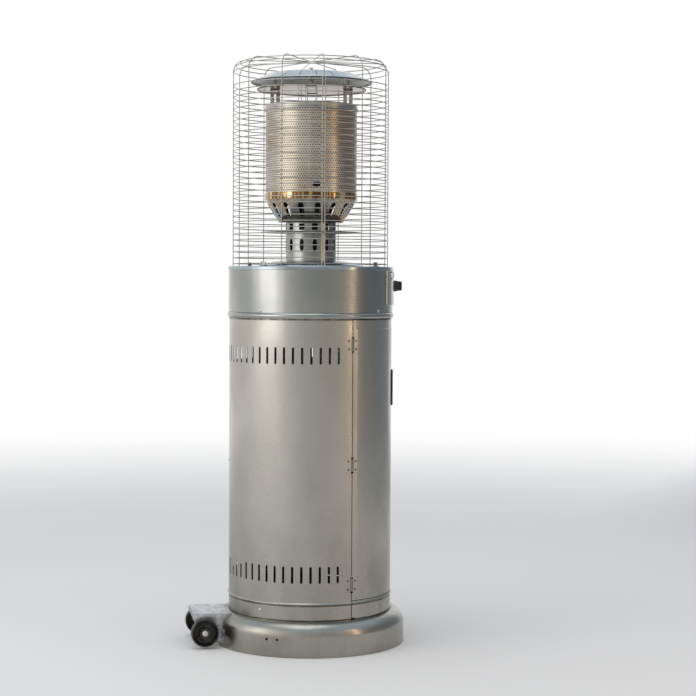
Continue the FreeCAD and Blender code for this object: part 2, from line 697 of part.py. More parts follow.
def spindle_sleeve():
    """Sliding sleeve in the valve's nose that carries the turning spindle."""
    start, end = V(0, -176.0, KNOB_Z), V(0, -189.0, KNOB_Z)
    return rod(SLEEVE_RADIUS, start, end).cut(rod(SPINDLE_RADIUS + RUNNING_GAP, start, end))


def valve_spindle():
    return rod(SPINDLE_RADIUS, V(0, -172.0, KNOB_Z), V(0, -PANEL_RADIUS - 3.8 - 12.0, KNOB_Z))


def gas_valve():
    """Brass valve body behind the panel, bored for the spindle, with an inlet side and an outlet side."""
    body = block(-17.0, 17.0, -184.0, -146.0, KNOB_Z - 13.0, KNOB_Z + 13.0)
    nose = block(-8.0, 8.0, -HEAD_INNER + 1.0, -184.0, KNOB_Z - 8.0, KNOB_Z + 8.0)
    ports = block(-26.0, 26.0, -168.0, -156.0, KNOB_Z - 6.0, KNOB_Z + 6.0)
    bore = rod(SLEEVE_RADIUS + RUNNING_GAP, V(0, -168.0, KNOB_Z), V(0, -200.0, KNOB_Z))
    return fused([body, nose, ports]).cut(bore)


def inlet_nipple():
    """Hose tail below the head floor, with a hexagon and a neck up to the inlet pipe."""
    neck = HEAD_FLOOR_TOP - SHEET
    tail = Part.makeCylinder(4.2, 32.0, V(0, 0, neck - 8.0 - 31.0))
    hexagon = many_sided([(0.0, neck - 8.0), (9.0, neck - 8.0), (9.0, neck), (0.0, neck)], 6)
    stem = many_sided([(0.0, neck - 1.0), (5.0, neck - 1.0), (5.0, neck + 11.0), (0.0, neck + 11.0)], 8)
    nipple = fused([tail, hexagon, stem])
    nipple.translate(V(INLET.x, INLET.y, 0))
    return nipple


def inlet_pipe():
    top = HEAD_FLOOR_TOP + 9.8
    return pipe([V(INLET.x, INLET.y, top), V(INLET.x, INLET.y, KNOB_Z), V(INLET.x, -162.0, KNOB_Z),
                 V(26.0, -162.0, KNOB_Z)], 4.0)


def gas_pipe():
    low = INJECTOR_Z - 14.0
    return pipe([V(-26.0, -162.0, KNOB_Z), V(-60.0, -162.0, KNOB_Z), V(-60.0, -60.0, low), V(0, 0, low),
                 V(0, 0, INJECTOR_Z)], 4.0)


def injector():
    """Brass jet on the axis, below the mixer tube."""
    profile = [(0.0, 0.0), (7.5, 0.0), (7.5, 30.0), (6.0, 30.0), (2.5, 40.0), (0.0, 40.0)]
    return lift(many_sided(profile, 6), INJECTOR_Z)


def injector_bar():
    """Cross bar under the top plate that holds the jet on the axis."""
    bar = block(-70.0, 70.0, -11.0, 11.0, HEAD_TOP - SHEET - 2.0, HEAD_TOP - SHEET)
    return bar.cut(injector())


def igniter_body():
    """Push igniter behind the panel, bored for the button's stem."""
    body = many_sided([(0.0, 150.0), (11.0, 150.0), (11.0, 190.6), (0.0, 190.6)], 8)
    stem = Part.makeCylinder(5.0 + RUNNING_GAP, 40.0, V(0, 0, 168.0))
    mouth = many_sided([(0.0, 186.0), (9.2, 186.0), (9.2, 195.0), (0.0, 195.0)], 12)
    return at_igniter(body.cut([stem, mouth]))


def at_igniter(shape):
    """Lay a form along Z down along the igniter's direction."""
    shape.rotate(V(0, 0, 0), V(0, 1, 0), 90)
    shape.rotate(V(0, 0, 0), UP, IGNITER_ANGLE)
    return lift(shape, IGNITER_Z)


def igniter_button():
    cap = many_sided([(0.0, 192.0), (8.2, 192.0), (8.2, 200.4), (6.4, 201.8), (0.0, 202.2)], 16)
    stem = Part.makeCylinder(5.0, 18.5, V(0, 0, 174.0))
    return at_igniter(fused([cap, stem]))


def tilt_switch():
    """Switch box on the head floor that shuts the gas if the heater tips."""
    box = block(60.0, 100.0, 40.0, 70.0, HEAD_FLOOR_TOP, HEAD_FLOOR_TOP + 24.0)
    foot = block(50.0, 110.0, 40.0, 70.0, HEAD_FLOOR_TOP, HEAD_FLOOR_TOP + 2.0)
    return fused([box, foot])


# Burner

def burner_tube():
    """Tube from the head to the emitter, with oval holes low down and windows above the shield."""
    inner = TUBE_RADIUS - 1.0
    foot = HEAD_TOP - SHEET
    tube = many_sided([(inner, foot), (TUBE_RADIUS, foot), (TUBE_RADIUS, TUBE_TOP), (inner, TUBE_TOP)], 24)
    oval = [V(50.0, 5.2 * math.cos(math.radians(a)), 14.0 * math.sin(math.radians(a)))
            for a in (20, 90, 160, 200, 270, 340)]
    oval = prism(oval, 16.0, V(1, 0, 0))
    window = block(50.0, 66.0, -7.0, 7.0, -7.5, 7.5)
    cuts = []
    for i in range(12):
        cuts.append(turn(lift(oval, 937.0), REAR + 30.0 * i))
        cuts.append(turn(lift(window, 980.0), REAR + 30.0 * i))
    return tube.cut(cuts)


def heat_shield_disc():
    """Thin disc that keeps the burner's heat off the head."""
    inner = corner_radius(TUBE_RADIUS + 0.05, 360.0 / BURNER_SIDES)
    return many_sided([(inner, SHIELD_Z), (SHIELD_RADIUS, SHIELD_Z), (SHIELD_RADIUS, SHIELD_Z + 1.5),
                       (inner, SHIELD_Z + 1.5)], BURNER_SIDES)


def mixer_tube():
    """Gas and air tube on the axis, from above the jet to the port plate."""
    low, high = HEAD_TOP + 12.0, CONE_TOP - 8.0
    return many_sided([(20.8, low), (22.0, low), (22.0, high), (20.8, high)], 16)


def port_plate():
    """Burner head on the mixer tube."""
    low = CONE_TOP - 8.0
    return many_sided([(0.0, low), (62.0, low), (66.0, low + 3.0), (62.0, low + 7.0), (0.0, low + 7.0)], 32)


def emitter_cup():
    """Slotted cone with a polished band at its rim and a floor plate round the mixer tube."""
    t = SHEET
    r0, r1 = CUP_BOTTOM_RADIUS, EMITTER_RADIUS
    profile = [(22.2, TUBE_TOP), (r0, TUBE_TOP), (r1, CONE_TOP), (r1 + 0.8, CONE_TOP), (r1 + 0.8, RING_TOP),
               (r1 - t, RING_TOP), (r1 - t, CONE_TOP), (r0 - t, TUBE_TOP + t), (22.2, TUBE_TOP + t)]
    cup = many_sided(profile, BURNER_SIDES)
    lean = math.degrees(math.atan2(r1 - r0, CONE_TOP - TUBE_TOP))
    slot = block(-20.0, 10.0, -4.8, 4.8, -18.0, 18.0)
    slot.rotate(V(0, 0, 0), V(0, 1, 0), lean)
    slot.translate(V((r0 + r1) / 2.0, 0, (TUBE_TOP + CONE_TOP) / 2.0 + 2.0))
    return cup.cut([turn(slot, REAR + 22.5 * i) for i in range(16)])


def emitter_screen():
    """Round radiant screen that stands in the cup's rim, with a pilot window."""
    r = EMITTER_RADIUS - SHEET - 0.2
    low = CONE_TOP + 1.0
    screen = many_sided([(r - 1.0, low), (r, low), (r, SCREEN_TOP), (r - 1.0, SCREEN_TOP)], BURNER_SIDES)
    window = prism([V(80, -8.5, -5.0), V(80, 8.5, -5.0), V(80, 8.5, 0.0), V(80, 5.0, 5.0), V(80, -5.0, 5.0),
                    V(80, -8.5, 0.0)], 40.0, V(1, 0, 0))
    return screen.cut(turn(lift(window, PILOT_Z), PILOT_ANGLE))


def emitter_cap():
    """Stepped lid on the screen."""
    r = EMITTER_RADIUS
    profile = [(0.0, SCREEN_TOP), (r + 3.0, SCREEN_TOP), (r + 3.0, SCREEN_TOP + 4.0),
               (r, SCREEN_TOP + 4.0), (r, CAP_TOP - 1.5), (r - 1.5, CAP_TOP), (0.0, CAP_TOP)]
    return many_sided(profile, BURNER_SIDES)


def pilot_bracket():
    """Folded plate from the cup's floor up to the pilot window."""
    floor = TUBE_TOP + SHEET
    return turn(fused([block(68.5, 88.0, -14.0, 14.0, PILOT_Z - 22.0, PILOT_Z - 20.5),
                       block(68.5, 70.0, -14.0, 14.0, floor, PILOT_Z - 20.5)]), PILOT_ANGLE)


def pilot_rod(offset, radius, height):
    form = many_sided([(0.0, 0.0), (radius, 0.0), (radius, height), (0.0, height)], 8)
    form.translate(V(76.0, offset, PILOT_Z - 20.5))
    return turn(form, PILOT_ANGLE)


# Reflectors

def reflector_bracket():
    """Inverted U strap on the emitter cap, its two slotted legs lying along the radius."""
    half_gap, half_width, skin = 12.0, 11.0, 1.5
    low, high = CAP_TOP, LOWER_REFLECTOR_Z - 1.0
    centre = BRACKET_CIRCLE
    outer = block(centre - half_width, centre + half_width, -half_gap, half_gap, low, high)
    inner = block(centre - 20.0, centre + 20.0, -half_gap + skin, half_gap - skin, low - 1.0, high - skin)
    slot = block(centre - 2.4, centre + 2.4, -20.0, 20.0, low + 4.0, high - 6.0)
    return outer.cut([inner, slot])


def on_bracket_circle(shape):
    return [turn(shape, BRACKET_TURN + 90.0 * i) for i in range(4)]


def lower_reflector():
    """Nearly flat polished dish with a rolled rim."""
    r, z = LOWER_REFLECTOR_RADIUS, LOWER_REFLECTOR_Z
    profile = [(0.0, z - 1.0), (r - 4.0, z - 1.0), (r - 1.5, z - 2.6), (r, z - 0.8), (r - 1.0, z + 2.0),
               (r - 4.0, z + 2.2), (r - 20.0, z + 0.4), (0.0, z + 0.4)]
    return many_sided(profile, BURNER_SIDES)


def upper_reflector():
    """Polished dish with a steep flank, a flat crown and a rolled rim."""
    r, z, t = UPPER_REFLECTOR_RADIUS, UPPER_REFLECTOR_Z, SHEET
    flat = 98.0
    profile = [(0.0, UPPER_PLATE_Z - t), (flat, UPPER_PLATE_Z - t), (r - 5.0, z + 1.5), (r - 4.0, z - 4.0),
               (r - 0.8, z - 4.0), (r, z), (r - 1.5, z + 3.5), (flat, UPPER_PLATE_Z), (0.0, UPPER_PLATE_Z)]
    return many_sided(profile, BURNER_SIDES)


def reflector_spacers():
    """Studs with sleeves between the two reflectors."""
    high = UPPER_PLATE_Z - SHEET
    stud = many_sided([(0.0, SPACER_FOOT), (3.5, SPACER_FOOT), (3.5, high), (0.0, high)], 8)
    stud.translate(V(BRACKET_CIRCLE, 0, 0))
    return group(on_bracket_circle(stud))


def reflector_nuts():
    nut = many_sided([(0.0, 0.0), (5.5, 0.0), (5.5, 3.5), (3.0, 6.0), (0.0, 6.6)], 6)
    nut.translate(V(BRACKET_CIRCLE, 0, UPPER_PLATE_Z))
    return group(on_bracket_circle(nut))


# Guard of welded wire

def wire_section(radius, z):
    """Three-sided wire section whose flat side faces outwards, under the upright wires."""
    return [(radius, z - WIRE / 2.0), (radius, z + WIRE / 2.0), (radius - WIRE, z)]


def ring_wires(radius, z, start, end):
    """Ring wire in lengths that meet end to end at the upright wires, every 60 degrees."""
    lengths = []
    for i in range(int(round((end - start) / 60.0))):
        low = start + 60.0 * i
        lengths.append(flat_sided(wire_section(radius, z), even(low, low + 60.0, 3)))
    return lengths


def upright_wire(angle, shift=0.0):
    half = WIRE / 2.0
    bar = block(GUARD_RADIUS, GUARD_RADIUS + WIRE, shift - half, shift + half, HEAD_TOP, SIDE_TOP)
    return turn(bar, angle)


def guard_half(start):
    """Half of the guard: ring wires over 180 degrees, five uprights and an edge wire at each end."""
    wires = []
    for i in range(GUARD_RING_COUNT):
        wires += ring_wires(GUARD_RADIUS, FIRST_RING_Z + GUARD_RING_STEP * i, start, start + 180.0)
    for i in range(1, 6):
        wires.append(upright_wire(start + 30.0 * i))
    wires.append(upright_wire(start, 3.2))
    wires.append(upright_wire(start + 180.0, -3.2))
    return group(wires)


def top_wire():
    """Radial wire of the top grille with its end bent down over the shoulder."""
    outer = GUARD_RADIUS + WIRE
    centre = V(outer - SHOULDER, 0, GUARD_TOP - SHOULDER)
    bend = [(centre.x + SHOULDER * math.cos(math.radians(a)), centre.z + SHOULDER * math.sin(math.radians(a)))
            for a in (0, 30, 60, 90)]
    inside = [(centre.x + (SHOULDER - WIRE) * math.cos(math.radians(a)),
               centre.z + (SHOULDER - WIRE) * math.sin(math.radians(a))) for a in (90, 60, 30, 0)]
    hub = 16.0
    outline = [(outer, SIDE_TOP)] + bend + [(hub, GUARD_TOP), (hub, GUARD_TOP - WIRE)] + inside
    outline.append((outer - WIRE, SIDE_TOP))
    return prism([V(r, -WIRE / 2.0, z) for r, z in outline], WIRE, V(0, 1, 0))


def guard_top():
    """Top grille: radial wires, shoulder rings under them and a hub ring."""
    wires = [turn(top_wire(), REAR + 360.0 / GUARD_BARS * i) for i in range(GUARD_BARS)]
    reach = SHOULDER - WIRE
    for lean in (8.0, 36.0, 64.0):
        r = GUARD_RADIUS - reach + reach * math.cos(math.radians(lean))
        z = GUARD_TOP - SHOULDER + reach * math.sin(math.radians(lean)) - WIRE / 2.0
        wires += ring_wires(r, z, REAR, REAR + 360.0)
    hub = [(13.0, GUARD_TOP - WIRE), (16.0, GUARD_TOP - WIRE), (16.0, GUARD_TOP), (13.0, GUARD_TOP)]
    wires.append(many_sided(hub, 16))
    return group(wires)


def guard_clips():
    """Small angle clips that hold the guard's lowest ring down on the head."""
    clips = []
    for angle in CORNER_ANGLES:
        outside = GUARD_RADIUS + WIRE
        foot = block(outside - 8.0, outside + 4.0, -7.0, 7.0, HEAD_TOP, HEAD_TOP + 1.4)
        wall = block(GUARD_RADIUS + 0.1, GUARD_RADIUS + 1.5, -7.0, 7.0, HEAD_TOP, HEAD_TOP + 10.0)
        clips.append(turn(fused([foot, wall]), angle))
    return group(clips)


# Every sub-part and its node

PIECES = {
    "base_pan": base_pan,
    "base_tabs": base_tabs,
    "wheel_bracket": wheel_bracket,
    "bracket_screws": bracket_screws,
    "wheel_axle": wheel_axle,
    "axle_spacers": axle_spacers,
    "wheel_left": lambda: placed_wheel(-1),
    "wheel_right": lambda: placed_wheel(1),
    "axle_caps": axle_caps,
    "rear_shell": rear_shell,
    "lower_apron": lower_apron,
    "door": door,
    "door_handle": door_handle,
    "hinge_fixed_leaves": lambda: at_hinges(hinge_fixed_leaf(), shell_rivets()),
    "hinge_door_leaves": lambda: at_hinges(hinge_door_leaf(), door_rivets()),
    "hinge_pins": lambda: at_hinges(hinge_pin()),
    "shell_rivets": shell_rivets,
    "door_rivets": door_rivets,
    "door_stop_strip": door_stop_strip,
    "magnet_catch": magnet_catch,
    "strike_plate": strike_plate,
    "strap_bracket": strap_bracket,
    "housing_screws": housing_screws,
    "head_floor": head_floor,
    "head_drum": head_drum,
    "head_top": head_top,
    "control_panel": control_panel,
    "control_knob": control_knob,
    "valve_spindle": valve_spindle,
    "spindle_sleeve": spindle_sleeve,
    "gas_valve": gas_valve,
    "inlet_nipple": inlet_nipple,
    "inlet_pipe": inlet_pipe,
    "gas_pipe": gas_pipe,
    "injector": injector,
    "injector_bar": injector_bar,
    "igniter_body": igniter_body,
    "igniter_button": igniter_button,
    "tilt_switch": tilt_switch,
    "burner_tube": burner_tube,
    "heat_shield_disc": heat_shield_disc,
    "mixer_tube": mixer_tube,
    "port_plate": port_plate,
    "emitter_cup": emitter_cup,
    "emitter_screen": emitter_screen,
    "emitter_cap": emitter_cap,
    "pilot_bracket": pilot_bracket,
    "pilot_burner": lambda: pilot_rod(0.0, 4.0, 16.0),
    "thermocouple": lambda: pilot_rod(9.0, 2.5, 24.0),
    "spark_electrode": lambda: pilot_rod(-9.0, 3.0, 20.0),
    "reflector_brackets": lambda: group(on_bracket_circle(reflector_bracket())),
    "lower_reflector": lower_reflector,
    "upper_reflector": upper_reflector,
    "reflector_spacers": reflector_spacers,
    "reflector_nuts": reflector_nuts,
    "guard_front": lambda: guard_half(180.0),
    "guard_rear": lambda: guard_half(0.0),
    "guard_top": guard_top,
    "guard_clips": guard_clips,
}


def main():
    os.makedirs("parts", exist_ok=True)
    for name, make in PIECES.items():
        shape = make()
        solids = shape.Solids
        bad = [s for s in solids if not s.isValid() or s.Volume <= 0]
        if not solids or bad:
            print(name, "has", len(solids), "solids,", len(bad), "bad")
        shape.exportStep("parts/" + name + ".step")
    print(len(PIECES), "nodes written")


main()
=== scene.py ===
# %% [markdown]
# # A gas patio heater
# The heater is a tall steel cabinet for a gas bottle, with a control head, a ring burner, two
# polished reflectors and a wire guard on top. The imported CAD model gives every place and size.
# This notebook gives each piece the rounded form and the finish of the real one.

import json
import math

import bmesh
import bpy
from mathutils import Matrix, Vector


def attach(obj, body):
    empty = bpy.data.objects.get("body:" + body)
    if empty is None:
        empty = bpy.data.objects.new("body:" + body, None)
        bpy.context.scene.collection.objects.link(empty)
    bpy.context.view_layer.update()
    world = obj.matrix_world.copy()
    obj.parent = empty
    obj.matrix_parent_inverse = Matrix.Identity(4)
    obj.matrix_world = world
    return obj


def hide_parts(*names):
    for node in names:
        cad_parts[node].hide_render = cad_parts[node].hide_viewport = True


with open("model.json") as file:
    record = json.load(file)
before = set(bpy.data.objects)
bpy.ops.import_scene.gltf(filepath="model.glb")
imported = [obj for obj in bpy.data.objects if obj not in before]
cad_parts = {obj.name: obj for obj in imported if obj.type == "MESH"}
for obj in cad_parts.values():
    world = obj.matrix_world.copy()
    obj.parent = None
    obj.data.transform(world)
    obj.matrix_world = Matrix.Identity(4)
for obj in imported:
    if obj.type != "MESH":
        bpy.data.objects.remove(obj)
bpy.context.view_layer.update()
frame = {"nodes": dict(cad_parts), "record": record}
MM = 0.001
TAU = 2.0 * math.pi

# %% [markdown]
# ## Node trees as Python expressions
# Materials and Geometry Nodes are both graphs of small boxes. Written by hand they are long, so one
# class wraps a socket and lets plain arithmetic add Math nodes, and one method adds any other node.
# The same two helpers then serve every material and every repeated piece.

# %% Graphs that add nodes


class Node:
    """A node whose outputs come back as Socket objects."""

    def __init__(self, graph, node):
        self.graph = graph
        self.node = node

    def out(self, key):
        return Socket(self.graph, self.node.outputs[key])


class Graph:
    """A node tree, shader or geometry, that is built by one method."""

    def __init__(self, tree):
        self.tree = tree

    def add(self, kind, settings=None, values=None):
        node = self.tree.nodes.new(kind)
        for name, value in (settings or {}).items():
            if name == "stops":
                self.set_stops(node.color_ramp, value)
            else:
                setattr(node, name, value)
        for key, value in (values or {}).items():
            target = node.inputs[key]
            if isinstance(value, Socket):
                self.tree.links.new(value.output, target)
            else:
                target.default_value = value
        return Node(self, node)

    @staticmethod
    def set_stops(ramp, stops):
        while len(ramp.elements) < len(stops):
            ramp.elements.new(0.5)
        for element, (place, colour) in zip(ramp.elements, stops):
            element.position = place
            element.color = (*colour, 1.0)


trial = Graph(bpy.data.node_groups.new("trial", "ShaderNodeTree"))
trial.add("ShaderNodeMath", {"operation": "SQRT"})
print("a trial tree holds", [node.bl_idname for node in trial.tree.nodes])

# %% [markdown]
# A socket of such a node can now take part in a sum. Each operator has a reflected form as well,
# so that 1 - mask works as mask - 1 does.

# %% Sockets that can be added and multiplied


class Socket:
    """An output socket of a node tree that understands + - * /."""

    def __init__(self, graph, output):
        self.graph = graph
        self.output = output

    def math(self, operation, first, second):
        made = self.graph.add("ShaderNodeMath", {"operation": operation}, {0: first, 1: second})
        return made.out(0)

    def __add__(self, other):
        return self.math("ADD", self, other)

    def __radd__(self, other):
        return self.math("ADD", other, self)

    def __sub__(self, other):
        return self.math("SUBTRACT", self, other)

    def __rsub__(self, other):
        return self.math("SUBTRACT", other, self)

    def __mul__(self, other):
        return self.math("MULTIPLY", self, other)

    def __rmul__(self, other):
        return self.math("MULTIPLY", other, self)

    def __truediv__(self, other):
        return self.math("DIVIDE", self, other)

    def apply(self, operation, other=0.0):
        """Any other Math operation, such as FLOOR, SQRT or MAXIMUM, with this value first."""
        return self.math(operation, self, other)

    def smooth(self, low, high):
        """0 below low, 1 above high, eased between them."""
        return self.graph.add("ShaderNodeMapRange", {"interpolation_type": "SMOOTHSTEP"},
                              {"Value": self, "From Min": low, "From Max": high}).out(0)


result = trial.add("ShaderNodeValue").out(0) * 0.5 + 1.0
print("x * 0.5 + 1 comes from the node", result.output.node.name, "of", len(trial.tree.nodes))
bpy.data.node_groups.remove(trial.tree)

# %% [markdown]
# ## Finishes
# Nearly everything here is metal, and metal looks like what it reflects. So a finish is mostly a
# roughness and how that roughness wanders: fine lines where a sheet was brushed, soft smudges where
# hands and weather have been, sharp spangles on zinc. Each material reads Object coordinates, so
# the pattern sits still on the piece. Every finish starts and ends in the same way, which the next
# helpers take over.

# %% Noise, blends and the two ends of a material

FINISH = {}


def coordinates(graph, output="Object"):
    """The x, y and z of Object coordinates, or of the Normal, which tells where a face looks."""
    place = graph.add("ShaderNodeTexCoord").out(output)
    parts = graph.add("ShaderNodeSeparateXYZ", None, {"Vector": place})
    return [parts.out(axis) for axis in range(3)]


def noise(graph, scale, detail=3.0, rough=0.55, stretch=(1.0, 1.0, 1.0)):
    """Noise on Object coordinates, stretched along the axes."""
    place = graph.add("ShaderNodeTexCoord").out("Object")
    mapped = graph.add("ShaderNodeMapping", None, {"Vector": place, "Scale": stretch}).out(0)
    return graph.add("ShaderNodeTexNoise", None,
                     {"Vector": mapped, "Scale": scale, "Detail": detail, "Roughness": rough}).out(0)


def blend(graph, factor, *tones):
    """A colour between two tones, each a socket or a plain (red, green, blue)."""
    first, second = ((*tone, 1.0) if isinstance(tone, tuple) else tone for tone in tones)
    return graph.add("ShaderNodeMix", {"data_type": "RGBA"}, {0: factor, 6: first, 7: second}).out(2)


def ramp(graph, value, stops):
    """A colour looked up between stops of (place, (red, green, blue))."""
    return graph.add("ShaderNodeValToRGB", {"stops": stops}, {0: value}).out(0)


def open_material(name):
    """A new material, kept in FINISH under its name, as an empty graph."""
    material = bpy.data.materials.new(name)
    material.use_nodes = True
    material.node_tree.nodes.clear()
    FINISH[name] = material
    return Graph(material.node_tree)


def close_material(graph, tone, rough, metallic=1.0, shine=0.5, relief=None):
    """End in a Principled shader. The relief is a height, the strength of its bump and its depth."""
    settings = {"Base Color": tone, "Roughness": rough, "Metallic": metallic, "Specular IOR Level": shine}
    if relief:
        height, strength, depth = relief
        settings["Normal"] = graph.add("ShaderNodeBump", None, {
            "Height": height, "Strength": strength, "Distance": depth}).out(0)
    surface = graph.add("ShaderNodeBsdfPrincipled", None, settings)
    graph.add("ShaderNodeOutputMaterial", None, {"Surface": surface.out(0)})


# %% [markdown]
# ### Brushed sheet
# The cabinet, the head and the burner's tube are sheet that was brushed round and round. An image
# of brushed steel would repeat, so the lines are noise that is squeezed 420 times along the height.
# Along its level seams and under its beads the sheet gets dark bands, partly dirt and partly painted
# shade. It also darkens in patches towards the ground, and inside the tube it is dark with soot and
# painted shade. Each of these is a mask that mixes in a tone and dulls the gloss.

# %% Brushed sheet with dark seams, a darker foot and a dark inside

# The tone of the dark seam bands and of the tube's inside: dirt and soot, with painted shade.
DIRT_AND_SHADE = (0.045, 0.038, 0.03)
# How dark the inward faces of tube and cup get: soot, with painted shade of the inside.
INNER_SOOT_AND_SHADE = 0.92
# Towards the ground the cabinet's sheet darkens in patches to the next tone, up to the height after it.
GROUND_DARK_TONE = (0.20, 0.185, 0.15)
GROUND_DARK_TOP = 0.46
BRUSHING = 0.12


def seam_dirt_and_shade(graph, seams):
    """1 in dark bands along level seams and under beads, partly dirt and partly painted shade. Seams are
    given as heights and half widths in mm.
    """
    height = coordinates(graph)[2]
    patchy = noise(graph, 45.0, 3.0, 0.6, (1.0, 1.0, 0.2)).smooth(0.22, 0.62)
    total = 0.0
    for level, half in seams:
        away = (height - level * MM).apply("ABSOLUTE")
        total = 1.0 - away.smooth(half * 0.35 * MM, half * MM) + total
    return total * (0.35 + patchy * 0.5)


def inward(graph):
    """1 on the faces of a rolled sheet that look towards the heater's axis."""
    x, y = coordinates(graph)[:2]
    look_x, look_y = coordinates(graph, "Normal")[:2]
    outward = x * look_x + y * look_y
    return (0.0 - outward).smooth(0.002, 0.02)


def darker_towards_ground(graph, top):
    """1 where the sheet darkens in patches, most at the ground and thinning out up to a height."""
    height = coordinates(graph)[2]
    patchy = noise(graph, 14.0, 4.0, 0.6, (1.0, 1.0, 0.5)).smooth(0.30, 0.68)
    return (1.0 - height.smooth(0.04, top)) * (0.62 + patchy * 0.38)


def brushed(name, pale, dark, rough, seams, soot_and_shade=0.0, ground_darkening=0.0):
    """Sheet metal with fine brushed lines, soft, wide smudges, and dark bands along its seams that are partly
    dirt and partly painted shade.
    """
    graph = open_material(name)
    line = noise(graph, 3.0, 4.0, 0.7, (2.0, 2.0, 420.0))
    smudge = noise(graph, 7.0, 3.0, 0.5, (1.0, 1.0, 0.7)).smooth(0.35, 0.70)
    speck = noise(graph, 160.0, 2.0, 0.6).smooth(0.60, 0.78)
    tone = blend(graph, smudge * 0.6 + line * 0.3, pale, dark)
    # The sheet darkens in patches towards the ground.
    if ground_darkening:
        low_darkening = darker_towards_ground(graph, GROUND_DARK_TOP) * ground_darkening
        tone = blend(graph, low_darkening, tone, GROUND_DARK_TONE)
        rough = rough + low_darkening * 0.10
    # Dark bands along the seams and under the beads: partly dirt, partly painted shade.
    darkening = seam_dirt_and_shade(graph, seams)
    # Inward faces darken: soot, with painted shade of the inside.
    if soot_and_shade:
        darkening = darkening.apply("MAXIMUM", inward(graph) * soot_and_shade)
    tone = blend(graph, darkening, tone, DIRT_AND_SHADE)
    rough = rough + (line - 0.5) * BRUSHING + (smudge - 0.5) * BRUSHING + speck * 0.04 + darkening * 0.2
    close_material(graph, tone, rough, relief=(line, 0.25, 0.00006))


# The heights given are seams and the lower edges of beads, where the dark bands of dirt and painted shade
# lie.
brushed("brushed_steel", (0.51, 0.49, 0.45), (0.37, 0.355, 0.315), 0.27,
        ((79.0, 1.6), (111.6, 1.5), (765.0, 2.6)), ground_darkening=0.55)
brushed("head_steel", (0.43, 0.425, 0.40), (0.25, 0.265, 0.26), 0.23, ((766.9, 1.0), (779.8, 1.0)))
brushed("burner_steel", (0.40, 0.40, 0.38), (0.22, 0.235, 0.235), 0.23,
        ((886.0, 1.6), (967.0, 2.2), (990.0, 2.0)), soot_and_shade=INNER_SOOT_AND_SHADE)
print("brushed:", ", ".join(FINISH))

# %% [markdown]
# ### Bright sheet and spun dishes
# The reflectors and the top plate are nearly mirrors. A perfect mirror looks like glass, so fine
# wipe marks ride on the gloss and soft clouds hold a trace of heat colour. A dish is darker
# underneath, which is painted shade, and the roll of its rim carries a dark painted reflection of
# the ground. Both masks come from the way the face looks and from the distance to the axis, so the
# same dish is bright from above and dull from underneath.

# %% Polished sheet and dishes with painted shade

UPPER_DISH_RADIUS = 143.0
LOWER_DISH_RADIUS = 129.0
# The dark tone in the roll of a dish's rim: a painted reflection of the ground.
RIM_GROUND_REFLECTION = (0.035, 0.030, 0.024)


def wipe_marks(graph):
    return noise(graph, 4.0, 3.0, 0.6, (3.0, 3.0, 60.0))


def heat_clouds(graph):
    return noise(graph, 9.0, 2.0, 0.5, (1.0, 1.0, 1.6)).smooth(0.38, 0.68)


def polished(name, pale, tint, rough):
    """Bright sheet with a trace of heat colour and fine wipe marks."""
    graph = open_material(name)
    wipe = wipe_marks(graph)
    tone = blend(graph, heat_clouds(graph), pale, tint)
    close_material(graph, tone, rough + wipe * 0.10, relief=(wipe, 0.12, 0.00008))


def spun_dish(name, pale, tint, under, rim):
    """Bright dish with painted shade underneath and a painted reflection of the dark ground in the roll of
    its rim.
    """
    graph = open_material(name)
    level = coordinates(graph, "Normal")[2]
    x, y = coordinates(graph)[:2]
    radius = (x * x + y * y).apply("SQRT")
    # Faces that look down get painted shade, in patches.
    below = (0.0 - level).smooth(0.15, 0.65)
    # The lower half of the rim's roll gets a painted reflection of the dark ground.
    rolled = radius.smooth((rim - 5.0) * MM, (rim - 3.2) * MM) * (0.45 - level).smooth(0.0, 0.4)
    patchy = noise(graph, 30.0, 3.0, 0.6).smooth(0.30, 0.65)
    shade_patches = noise(graph, 16.0, 4.0, 0.6).smooth(0.30, 0.70)
    wipe = wipe_marks(graph)
    darkening = rolled * (0.70 + patchy * 0.25)
    tone = blend(graph, heat_clouds(graph), pale, tint)
    tone = blend(graph, below * (0.75 + shade_patches * 0.25), tone, under)
    tone = blend(graph, darkening, tone, RIM_GROUND_REFLECTION)
    rough = 0.08 + wipe * 0.10 + below * 0.10 + darkening * 0.2
    close_material(graph, tone, rough, relief=(wipe, 0.12, 0.00008))


polished("polished_steel", (0.50, 0.51, 0.51), (0.33, 0.32, 0.30), 0.08)
polished("top_steel", (0.36, 0.41, 0.44), (0.27, 0.29, 0.30), 0.14)
# The third colour of each dish is its painted shade underneath; the lower dish's brown is a painted
# reflection of the ground.
spun_dish("upper_dish_steel", (0.60, 0.61, 0.58), (0.36, 0.42, 0.46), (0.25, 0.245, 0.22), UPPER_DISH_RADIUS)
spun_dish("lower_dish_steel", (0.60, 0.60, 0.57), (0.42, 0.40, 0.37), (0.36, 0.295, 0.24), LOWER_DISH_RADIUS)
print("the dishes are dark from", UPPER_DISH_RADIUS - 5.0, "and", LOWER_DISH_RADIUS - 5.0, "mm outwards")

# %% [markdown]
# ### Zinc, soot, plastic and plating
# The smaller parts are galvanised sheet, sheet that the flame has sooted, moulded plastic, and
# turned or plated metal. Zinc freezes in crystals, which are the cells of a Voronoi texture. The
# others differ in grain and gloss only, so one short recipe serves each family.

# %% Recipes for the smaller parts

ZINC_TONES = ((0.62, 0.62, 0.64), (0.46, 0.465, 0.48))
ZINC_DIRT = (0.25, 0.22, 0.19)
DRY_DUST = (0.30, 0.26, 0.21)


